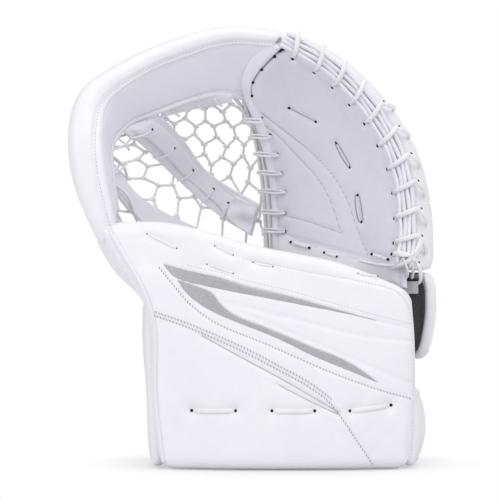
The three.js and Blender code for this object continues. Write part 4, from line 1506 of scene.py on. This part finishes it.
    def _lining(self, surface: Loft) -> None:
        """The black lining behind the palm."""
        behind = Quilt(self.thickness + 0.6, self.thickness + 3.2, step=3.0, corner=12, swell=1.0)
        behind.relief = [Ripple(1.0, 25, 67)]
        lining = behind.build("palm_lining", surface.part(0.12, 0.88, 0.25, 0.97))
        dress(lining, Body.FINGERS, LINING, ["palm_liner"])


@dataclass
class Rim:
    """The layered leather edge round the fingers, and the lace that binds it to the palm and the shell."""

    layer_thickness: float = 4.1
    layer_depth: float = 11.0
    first_layer: float = -7.4
    pitch: float = 3.5
    lace: Cord = field(default_factory=lambda: Cord(3.9, 2.3, sides=10, spacing=1.0))
    turns: tuple[float, ...] = (0.055, 0.14, 0.228, 0.318, 0.405, 0.495, 0.585, 0.672, 0.758, 0.842, 0.92)

    CENTRE = ((1.5, 11.5, 335.5), (33.5, 14, 317.5), (58, 18, 296), (79, 20, 269), (94, 18, 237),
              (100, 13, 203), (99.5, 4, 168), (96, -3, 152))
    # Every other layer is the darker leather: painted shade that sets the layers apart.
    FINISHES = (STRAP_LEATHER, ROLLED_LEATHER_PAINTED_SHADE, STRAP_LEATHER, ROLLED_LEATHER_PAINTED_SHADE)
    INNER_ARM = ((-11.0, -2.5, 0.0), (-10.2, 3.4, 0.0), (-6.5, 7.4, 0.15), (0.0, 9.2, 0.5), (5.2, 8.2, 0.9),
                 (8.4, 4.2, 1.0), (9.0, 0.5, 1.0))
    OUTER_ARM = ((8.6, 1.0, 0.0), (9.4, 5.6, 2.0), (12.4, 1.0, 6.0), (14.2, -7.0, 9.0), (13.0, -13.0, 10.0))
    HEEL_TIES = (
        ("12", (
            (
                (62, 27, 158),
                (74, 14, 155.5),
                (86, 1, 154.5),
                (97, -8.8, 156.5),
                (104, -5, 162),
                (109, 1, 168),
            ),
            ((86, 3, 152), (93, -8, 155), (100, -8.5, 160), (107, -3, 168), (110, 2, 174)),
        )),
        ("13", (
            ((88, 0, 163), (95, -9, 162), (101, -8, 163), (106, -3, 169), (108, 1, 176)),
            ((94, -8, 161), (96.5, -8.5, 155), (98, -5, 149), (97, 4, 145)),
            ((101, -7, 163), (102, -6, 155), (102.5, -1, 149), (102, 6, 145)),
        )),
    )

    def frame_at(self, place: np.ndarray) -> tuple[np.ndarray, np.ndarray, np.ndarray, np.ndarray]:
        """The rim's middle, its direction, its front and its outside at each place from 0 to 1."""
        rail = np.array(self.CENTRE, float) * MM
        middle = catmull(rail, place)
        along = catmull(rail, place + 1e-3) - catmull(rail, place - 1e-3)
        along[place > 0.995] = (catmull(rail, place) - catmull(rail, place - 2e-3))[place > 0.995]
        along /= np.maximum(np.linalg.norm(along, axis=1, keepdims=True), 1e-12)
        front = FORWARDS - along * along[:, 1:2] * -1
        front /= np.linalg.norm(front, axis=1, keepdims=True)
        return middle, along, front, np.cross(front, along)

    def spot(self, place: float, out: float, front: float, ahead: float = 0.0) -> np.ndarray:
        """A point near the rim: millimetres outwards, to the front and along it."""
        middle, along, forward, outside = (a[0] for a in self.frame_at(np.array([place])))
        return middle + (outside * out + forward * front + along * ahead) * MM

    def build(self) -> None:
        """Builds the rim and its laces."""
        place = np.linspace(0, 1, 90)
        middle, _, front, outside = self.frame_at(place)
        for index, finish in enumerate(self.FINISHES):
            out = (self.first_layer + index * self.pitch) * MM
            wave = 0.35 * MM * np.sin(place * 40 + index * 1.9)
            forward = (0.4 + 0.7 * index - 0.5 * (index == 3)) * MM
            path = middle + outside * (out + wave[:, None]) + front * forward
            layer = Cord(self.layer_depth, self.layer_thickness, sides=14, spacing=1.6)
            obj = outwards(make_object(f"rim_layer_{index + 1}", layer.mesh(path, outside)))
            dress(obj, Body.FINGERS, finish, ["rim_roll"] if index == 1 else ())
        holes = []
        for index, turn in enumerate(self.turns, 1):
            lean = -6.0 if turn < 0.85 else 4.0
            inner = [self.spot(turn, out, rise, lean * share) for out, rise, share in self.INNER_ARM]
            outer = [self.spot(turn, out, rise, lean + extra) for out, rise, extra in self.OUTER_ARM]
            arms = (inner, outer) if turn > 0.35 else (inner,)
            paths = [catmull(np.array(points), np.linspace(0, 1, 40)) for points in arms]
            _, _, front_here, outside_here = (a[0] for a in self.frame_at(np.array([turn])))
            tilt = front_here + outside_here * 0.4
            obj = cords(f"rim_lace_turn_{index:02d}", self.lace, paths, tilt)
            dress(obj, Body.FINGERS, LACE, [f"rim_lace_{index:02d}"])
            holes.append(self.spot(turn, 8.8, 5.2, lean))
        # Dark discs of painted shade in the outer lace holes.
        mouths = plugs("rim_outer_hole_shade", np.array(holes[4:]), np.array([0.2, -1.0, 0.2]), 1.5)
        dress(mouths, Body.FINGERS, HOLE_SHADE)
        self._heel_laces()

    def inner_holes(self) -> list[tuple[float, float]]:
        """Where the laces go into the palm: (x, z) in millimetres."""
        spots = [self.spot(turn, -12.2, 0.0) / MM for turn in self.turns]
        return [(spot[0], spot[2]) for spot in spots]

    def _heel_laces(self) -> None:
        """The laces that tie the rim's lower end to the heel and to the backhand."""
        for index, lines in self.HEEL_TIES:
            paths = [catmull(np.array(line, float) * MM, np.linspace(0, 1, 40)) for line in lines]
            tie = cords(f"heel_tie_{index}", self.lace, paths)
            dress(tie, Body.FINGERS, LACE, [f"rim_lace_{index}"])


@dataclass
class Shell:
    """The padded shell over the fingers, the backhand pad below it and the wall by the index finger."""

    thickness: float = 9.0
    pad_thickness: float = 8.0

    FRONT = ((9, 16, 335), (37, 17, 319.5), (62, 20, 298.5), (84, 23, 271.5), (99.5, 21, 238.5),
             (105.5, 16, 204), (105.5, 8, 169), (103.5, 3, 151))
    ROLL = ((10, 27, 338), (42, 30, 321), (68, 33, 300), (91, 36, 272), (107, 35, 239), (114, 31, 205),
            (116, 24, 170), (115, 19, 151))
    SIDE = ((10, 40, 334), (44, 46, 317), (69, 50, 295), (91, 53, 268), (108, 52, 237), (116, 48, 205),
            (118, 42, 170), (117, 38, 151))
    CORNER = ((14, 58, 326), (40, 70, 311), (62, 80, 291), (82, 86, 265), (96, 88, 235), (101, 86, 203),
              (102, 80, 170), (101, 74, 150))
    BACK = ((6, 70, 319), (22, 88, 303), (38, 102, 281), (50, 110, 256), (58, 114, 228), (62, 114, 198),
            (62, 110, 168), (62, 103, 150))
    SPINE = ((-4, 72, 312), (-6, 92, 296), (-2, 108, 276), (2, 118, 250), (4, 122, 224), (5, 122, 198),
             (6, 120, 170), (8, 115, 151))
    WALL_EDGE = ((-10, 33, 319), (-25, 41, 303), (-28, 55, 285), (-17, 70, 262), (-9, 84, 232),
                 (-5, 92, 201), (-4, 92, 158))
    WALL_MIDDLE = ((-16, 50, 319), (-21, 66, 302), (-22, 84, 281), (-16, 97, 256), (-11, 106, 228),
                   (-8, 109, 199), (-7, 106, 158))
    WALL_SPINE = ((-1, 70, 313), (-2, 90, 297), (2, 105, 276), (6, 114.5, 250), (8, 118.5, 224),
                  (9, 118.5, 198), (10, 112, 153))

    def build(self) -> None:
        """Builds the shell, the backhand and the index wall."""
        self._shell()
        self._backhand()
        self._index_wall()
        mould_plate("finger_stiffener")

    def _shell(self) -> None:
        """The shell with its ribs and its lining."""
        surface = Loft(self.FRONT, self.ROLL, self.SIDE, self.CORNER, self.BACK, self.SPINE)
        along, up = np.linspace(0.01, 0.99, 70), np.linspace(0.2, 0.99, 40)
        pad = Quilt(self.thickness, 0.0, step=1.9, edge=4.0, corner=5, swell=1.8)
        pad.relief = [Ripple(0.9, 60, 71)]
        ribs = [surface.points(np.full(70, u), along) for u in (0.36, 0.62)]
        pad.relief += [Groove(path, 1.8, 1.6) for path in ribs]
        crossing = [surface.points(up, np.full(40, v)) for v in (0.45, 0.72)]
        pad.relief += [Groove(path, 1.6, 1.3) for path in crossing]
        shell = pad.build("finger_shell_pad", surface)
        dress(shell, Body.FINGERS, WHITE_LEATHER, ["finger_shell"])
        rows = [pad.on_face(surface, row_of(u, along), 0.2) for u in (0.35, 0.375, 0.61, 0.635)]
        rows += [pad.on_face(surface, row_of(up, v), 0.2) for v in (0.445, 0.725)]
        sewn = stitches("finger_shell_stitching", rows, pitch=3.2, stitch=2.0, thread=0.6)
        dress(sewn, Body.FINGERS, THREAD_AND_HOLE_SHADE)
        inside = Quilt(self.thickness + 3.6, self.thickness + 6.4, step=3.0, corner=10, swell=1.0)
        inside.relief = [Ripple(0.9, 25, 73)]
        lining = inside.build("finger_lining", surface.part(0.42, 0.93, 5 / 12, 0.99))
        dress(lining, Body.FINGERS, LINING, ["finger_liner"])

    def _backhand(self) -> None:
        """The pad over the back of the hand, bound in white and lined in black."""
        surface = Loft(
            ((121, 12, 149), (122, 13, 116), (116, 18, 80)),
            ((110, 38, 149), (110, 41, 114), (106, 45, 80)),
            ((101, 75, 149), (102, 77, 112), (98, 76, 80)),
            ((62, 103, 149), (62, 102, 110), (60, 98, 81)),
            ((8, 115, 150), (8, 112, 110), (6, 108, 84)),
        )
        pad = Quilt(self.pad_thickness, 0.0, step=1.8, edge=3.8, corner=16, swell=1.2)
        pad.relief = [Ripple(0.9, 45, 75)]
        u = np.linspace(0.03, 0.97, 60)
        seam = [surface.points(u, np.full(60, v)) for v in (0.14, 0.86)]
        pad.relief += [Groove(path, 1.5, 1.2) for path in seam]
        dress(pad.build("backhand_cover", surface), Body.FINGERS, WHITE_LEATHER, ["backhand_pad"])
        rows = [pad.on_face(surface, row_of(u, v), 0.2) for v in (0.17, 0.83)]
        dress(stitches("backhand_stitching", rows, pitch=3.0, stitch=2.0, thread=0.6), Body.FINGERS, THREAD_AND_HOLE_SHADE)
        cross = Loft(
            ((95, 27, 142), (106, 19, 142), (116, 15, 142)),
            ((95, 27, 132), (106, 19, 132), (116, 15, 131)),
        )
        band = Quilt(0.0, 2.0, step=1.4, edge=0.9, swell=0.4)
        dress(band.build("backhand_cross_band", cross), Body.FINGERS, STRAP_LEATHER)
        inside = Quilt(self.pad_thickness + 0.1, self.pad_thickness + 3.0, step=2.2, corner=12, swell=0.8)
        inside.relief = [Ripple(0.8, 22, 77)]
        lining = inside.build("backhand_lining", surface.part(0.035, 0.965, 0.06, 0.95))
        dress(lining, Body.FINGERS, LINING, ["backhand_liner"])

    def _index_wall(self) -> None:
        """The wall from the palm's pocket edge to the spine."""
        surface = Loft(self.WALL_EDGE, self.WALL_MIDDLE, self.WALL_SPINE)
        wall = Quilt(4.0, 0.0, step=2.0, edge=1.8, swell=1.2, relief=[Ripple(1.0, 40, 79)])
        padded = wall.build("index_wall_pad", surface)
        dress(padded, Body.FINGERS, WHITE_LEATHER, ["index_side_wall"])


@dataclass
class PocketLaces:
    """The laces that tie the palm's pocket edge to the net; they ride with the palm."""

    lace: Cord = field(default_factory=lambda: Cord(2.4, 1.7))

    def build(self) -> None:
        """Builds the laces."""
        palm = Palm()
        surface = palm.surface()
        paths = []
        for x, z in palm.POCKET_HOLES:
            where = surface.find([(x, z), (x - 7, z + 0.5)])
            hole, edge = surface.raised(where[:, 0], where[:, 1], -2.2 * MM)
            for drop in (-1.2, 1.2):
                shift = np.array([0, 0, drop * MM])
                path = [
                    hole + np.array([0, 3.5, 0]) * MM,
                    hole + shift * 0.4,
                    edge + shift + np.array([0, -2.5, 0]) * MM,
                    edge + shift + np.array([-7.5, -1.0, 0.6]) * MM,
                    edge + shift * 0.3 + np.array([-12.5, 5.0, 0.8]) * MM,
                ]
                paths.append(catmull(np.array(path), np.linspace(0, 1, 24)))
        dress(cords("pocket_edge_laces", self.lace, paths), Body.FINGERS, LACE)


# ---------------------------------------------------------------- straps


@dataclass
class Straps:
    """The hook-and-loop straps on the back, with their patches, keepers and tabs."""

    thickness: float = 2.6
    keeper_thickness: float = 2.4
    keeper_bevel: float = 0.9
    keeper_share: float = 0.92

    def build(self) -> None:
        """Builds both straps and the loop patch on the heel wing."""
        wrist = Loft(
            ((-84, 52, 26), (-40, 57, 26), (0, 59, 26), (40, 57, 26), (82, 52, 26)),
            ((-84, 52, 52), (-40, 57, 52), (0, 59, 52), (40, 57, 52), (82, 52, 52)),
        )
        hand = Loft(
            ((104, 86, 125), (85, 97, 125), (62, 108, 124), (34, 116, 124), (12, 118, 124)),
            ((104, 86, 101), (85, 97, 101), (62, 107, 100), (34, 115, 100), (12, 117, 100)),
        )
        self._strap("wrist", wrist, Body.WRIST_STRAP, 0.0)
        self._strap("hand", hand, Body.HAND_STRAP, 2 * self.thickness)
        heel = Loft(
            ((87, 39, 20), (87, 39, 50)),
            ((76, 44.5, 20), (76, 44.5, 50)),
            ((58, 48.2, 20), (58, 48.2, 50)),
        )
        patch = Quilt(-1.4, 1.9, step=1.5, edge=0.6, corner=4)
        dress(patch.build("wrist_loop_tape", heel), Body.CUFF, HOOK_TAPE, ["wrist_loop_patch"])

    def _strap(self, name: str, surface: Loft, body: Body, outer: float) -> None:
        """One strap with its hook patch, keeper, tab and stitching.

        Args:
            name: wrist or hand.
            surface: The strap's surface, whose normal points away from the hand.
            body: The strap's body.
            outer: The offset of its outer face, in millimetres.
        """
        along = np.linspace(0.02, 0.98, 60)
        inner = outer - self.thickness
        webbing = Quilt(inner, outer, step=1.6, edge=0.9, corner=5)
        edge = [surface.raised(np.full(60, u), along, outer * MM) for u in (0.1, 0.9)]
        webbing.relief = [Groove(path, 0.8, 0.4) for path in edge]
        dress(webbing.build(f"{name}_webbing", surface), body, WEBBING, [f"{name}_strap"])
        rows = [webbing.on_face(surface, row_of(u, along), 0.15) for u in (0.1, 0.9)]
        box = [surface.raised(np.array([0.15, 0.85]), np.array([v, w]), (outer + 0.2) * MM)
               for v, w in ((0.1, 0.17), (0.17, 0.1), (0.1, 0.1), (0.17, 0.17))]
        sewn = stitches(f"{name}_strap_stitching", [*rows, *box], pitch=2.8, stitch=1.8, thread=0.6)
        dress(sewn, body, THREAD_AND_HOLE_SHADE)
        hooks = surface.part(0.12, 0.88, 0.74, 0.92)
        tape = Quilt(inner - 1.3, inner + 0.2, step=1.5, edge=0.5, corner=3)
        dress(tape.build(f"{name}_hook_tape", hooks), body, HOOK_TAPE, [f"{name}_hook_patch"])
        tab = Quilt(outer + 0.1, outer + 2.2, step=1.2, edge=1.0, corner=5, swell=0.3)
        grip = surface.part(0.1, 0.9, 0.9, 0.995)
        across = np.linspace(0.1, 0.9, 12)
        ridges = [grip.raised(across, np.full(12, v), (outer + 2) * MM) for v in (0.35, 0.6, 0.85)]
        tab.relief = [Groove(ridge, 0.9, 0.7) for ridge in ridges]
        dress(tab.build(f"{name}_pull_tab", grip), body, PLASTIC, [f"{name}_strap_tab"])
        self._keeper(f"{name}_keeper", surface, body, outer)

    def _keeper(self, name: str, surface: Loft, body: Body, outer: float) -> None:
        """A moulded keeper plate over the sewn end, modelled from a cube."""
        low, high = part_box(name.replace("keeper", "strap_keeper"))
        size = high - low
        deselect_all()
        bpy.ops.mesh.primitive_cube_add(size=1, location=(0, 0, 0))
        obj = bpy.context.object
        obj.name = name
        bpy.ops.object.mode_set(mode="EDIT")
        tangent = surface.points(np.array([0.5, 0.5]), np.array([0.02, 0.08]))
        run = tangent[1] - tangent[0]
        turn = math.atan2(run[1], run[0])
        length = size.x / max(abs(math.cos(turn)), 0.3) * self.keeper_share
        bpy.ops.transform.resize(value=(length, self.keeper_thickness * MM, size.z))
        bpy.ops.mesh.bevel(offset=self.keeper_bevel * MM, segments=3, affect="EDGES")
        bpy.ops.object.mode_set(mode="OBJECT")
        centre = surface.raised(np.array([0.5]), np.array([0.045]), (outer + 1.3) * MM)[0]
        cos, sin = math.cos(turn), math.sin(turn)
        turned = np.array([[cos, -sin, 0], [sin, cos, 0], [0, 0, 1]])
        places = np.array([v.co for v in obj.data.vertices]) @ turned.T + centre
        obj.data.vertices.foreach_set("co", places.astype(np.float32).ravel())
        obj.data.update()
        deselect_all()
        obj.select_set(True)
        bpy.ops.object.shade_smooth_by_angle(angle=math.radians(50))
        dress(obj, body, PLASTIC, [name.replace("keeper", "strap_keeper")])


# ---------------------------------------------------------------- studio


@dataclass
class Studio:
    """A pale floor and background, soft lights, and a camera level with the middle of the glove."""

    view_width: float = 0.385
    lens: float = 200.0
    sensor: float = 36.0
    aim: tuple[float, float, float] = (-0.0253, -0.04, 0.1667)
    pale: tuple[float, float, float] = (1.0, 1.0, 1.0)
    lit: tuple[float, float, float] = (0.0, 0.0, 0.17)

    LIGHTS = (
        ("key", (0.75, -1.3, 1.6), 1.1, 10),
        ("fill", (-1.5, -1.3, 0.9), 1.3, 8),
        ("top", (0.1, 0.3, 1.9), 1.3, 6),
    )

    def build(self) -> None:
        """Builds the camera, floor, lights and world."""
        data = bpy.data.cameras.new("camera")
        data.lens, data.sensor_width = self.lens, self.sensor
        data.clip_start, data.clip_end = 0.05, 60
        camera = bpy.data.objects.new("camera", data)
        distance = self.view_width * self.lens / self.sensor
        camera.location = (self.aim[0], self.aim[1] - distance, self.aim[2])
        camera.rotation_euler = (math.pi / 2, 0, 0)
        bpy.context.scene.collection.objects.link(camera)
        bpy.context.scene.camera = camera
        bpy.context.scene.view_settings.view_transform = "Standard"
        self._floor()
        self._world()
        for light in self.LIGHTS:
            self._light(*light)

    def _floor(self) -> None:
        """A pale floor that runs into the background."""
        deselect_all()
        bpy.ops.mesh.primitive_grid_add(x_subdivisions=8, y_subdivisions=8, size=30, location=(0, 0, -0.0005))
        floor = bpy.context.object
        floor.name = "floor"
        material = bpy.data.materials.new("floor")
        material.use_nodes = True
        nodes, links = material.node_tree.nodes, material.node_tree.links
        nodes.remove(nodes["Principled BSDF"])
        matte, glow = nodes.new("ShaderNodeBsdfDiffuse"), nodes.new("ShaderNodeEmission")
        matte.inputs["Color"].default_value = (0.82, 0.82, 0.84, 1)
        glow.inputs["Color"].default_value = (*self.pale, 1)
        kinds = ("TexCoord", "VectorMath", "MapRange")
        place, size, reach = (nodes.new(f"ShaderNode{kind}") for kind in kinds)
        size.operation = "LENGTH"
        reach.interpolation_type = "SMOOTHSTEP"
        reach.inputs["From Min"].default_value = 0.04
        reach.inputs["From Max"].default_value = 0.17
        links.new(place.outputs["Object"], size.inputs[0])
        links.new(size.outputs["Value"], reach.inputs["Value"])
        path, seen = nodes.new("ShaderNodeLightPath"), nodes.new("ShaderNodeMath")
        seen.operation = "MULTIPLY"
        links.new(reach.outputs["Result"], seen.inputs[0])
        links.new(path.outputs["Is Camera Ray"], seen.inputs[1])
        both = nodes.new("ShaderNodeMixShader")
        links.new(seen.outputs["Value"], both.inputs["Fac"])
        links.new(matte.outputs[0], both.inputs[1])
        links.new(glow.outputs[0], both.inputs[2])
        links.new(both.outputs[0], nodes["Material Output"].inputs["Surface"])
        floor.data.materials.append(material)

    def _world(self) -> None:
        """A white background whose light on the glove is softer than it looks."""
        world = bpy.data.worlds.new("world")
        world.use_nodes = True
        nodes, links = world.node_tree.nodes, world.node_tree.links
        seen, light = nodes["Background"], nodes.new("ShaderNodeBackground")
        seen.inputs["Color"].default_value = (*self.pale, 1)
        light.inputs["Color"].default_value = (0.965, 0.96, 1.0, 1)
        light.inputs["Strength"].default_value = 0.7
        path, both = nodes.new("ShaderNodeLightPath"), nodes.new("ShaderNodeMixShader")
        links.new(path.outputs["Is Camera Ray"], both.inputs["Fac"])
        links.new(light.outputs[0], both.inputs[1])
        links.new(seen.outputs[0], both.inputs[2])
        links.new(both.outputs[0], nodes["World Output"].inputs["Surface"])
        bpy.context.scene.world = world

    def _light(self, name: str, place: tuple[float, float, float], size: float, power: float) -> None:
        """Adds a soft square light that faces the glove.

        Args:
            name: The light's name.
            place: Where it hangs, in metres.
            size: The length of its side, in metres.
            power: Its power, in watts.
        """
        data = bpy.data.lights.new(name, "AREA")
        data.size, data.energy = size, power
        light = bpy.data.objects.new(name, data)
        light.location = place
        light.rotation_mode = "QUATERNION"
        light.rotation_quaternion = (Vector(self.lit) - Vector(place)).to_track_quat("-Z", "Y")
        bpy.context.scene.collection.objects.link(light)


def main() -> None:
    """Builds the studio and the glove."""
    logging.basicConfig(level=logging.INFO, format="%(name)s: %(message)s")
    Studio().build()
    for part in (Cuff(), Thumb(), Pocket(), Palm(), Rim(), Shell(), PocketLaces(), Straps()):
        part.build()


if __name__ == "__main__":
    main()
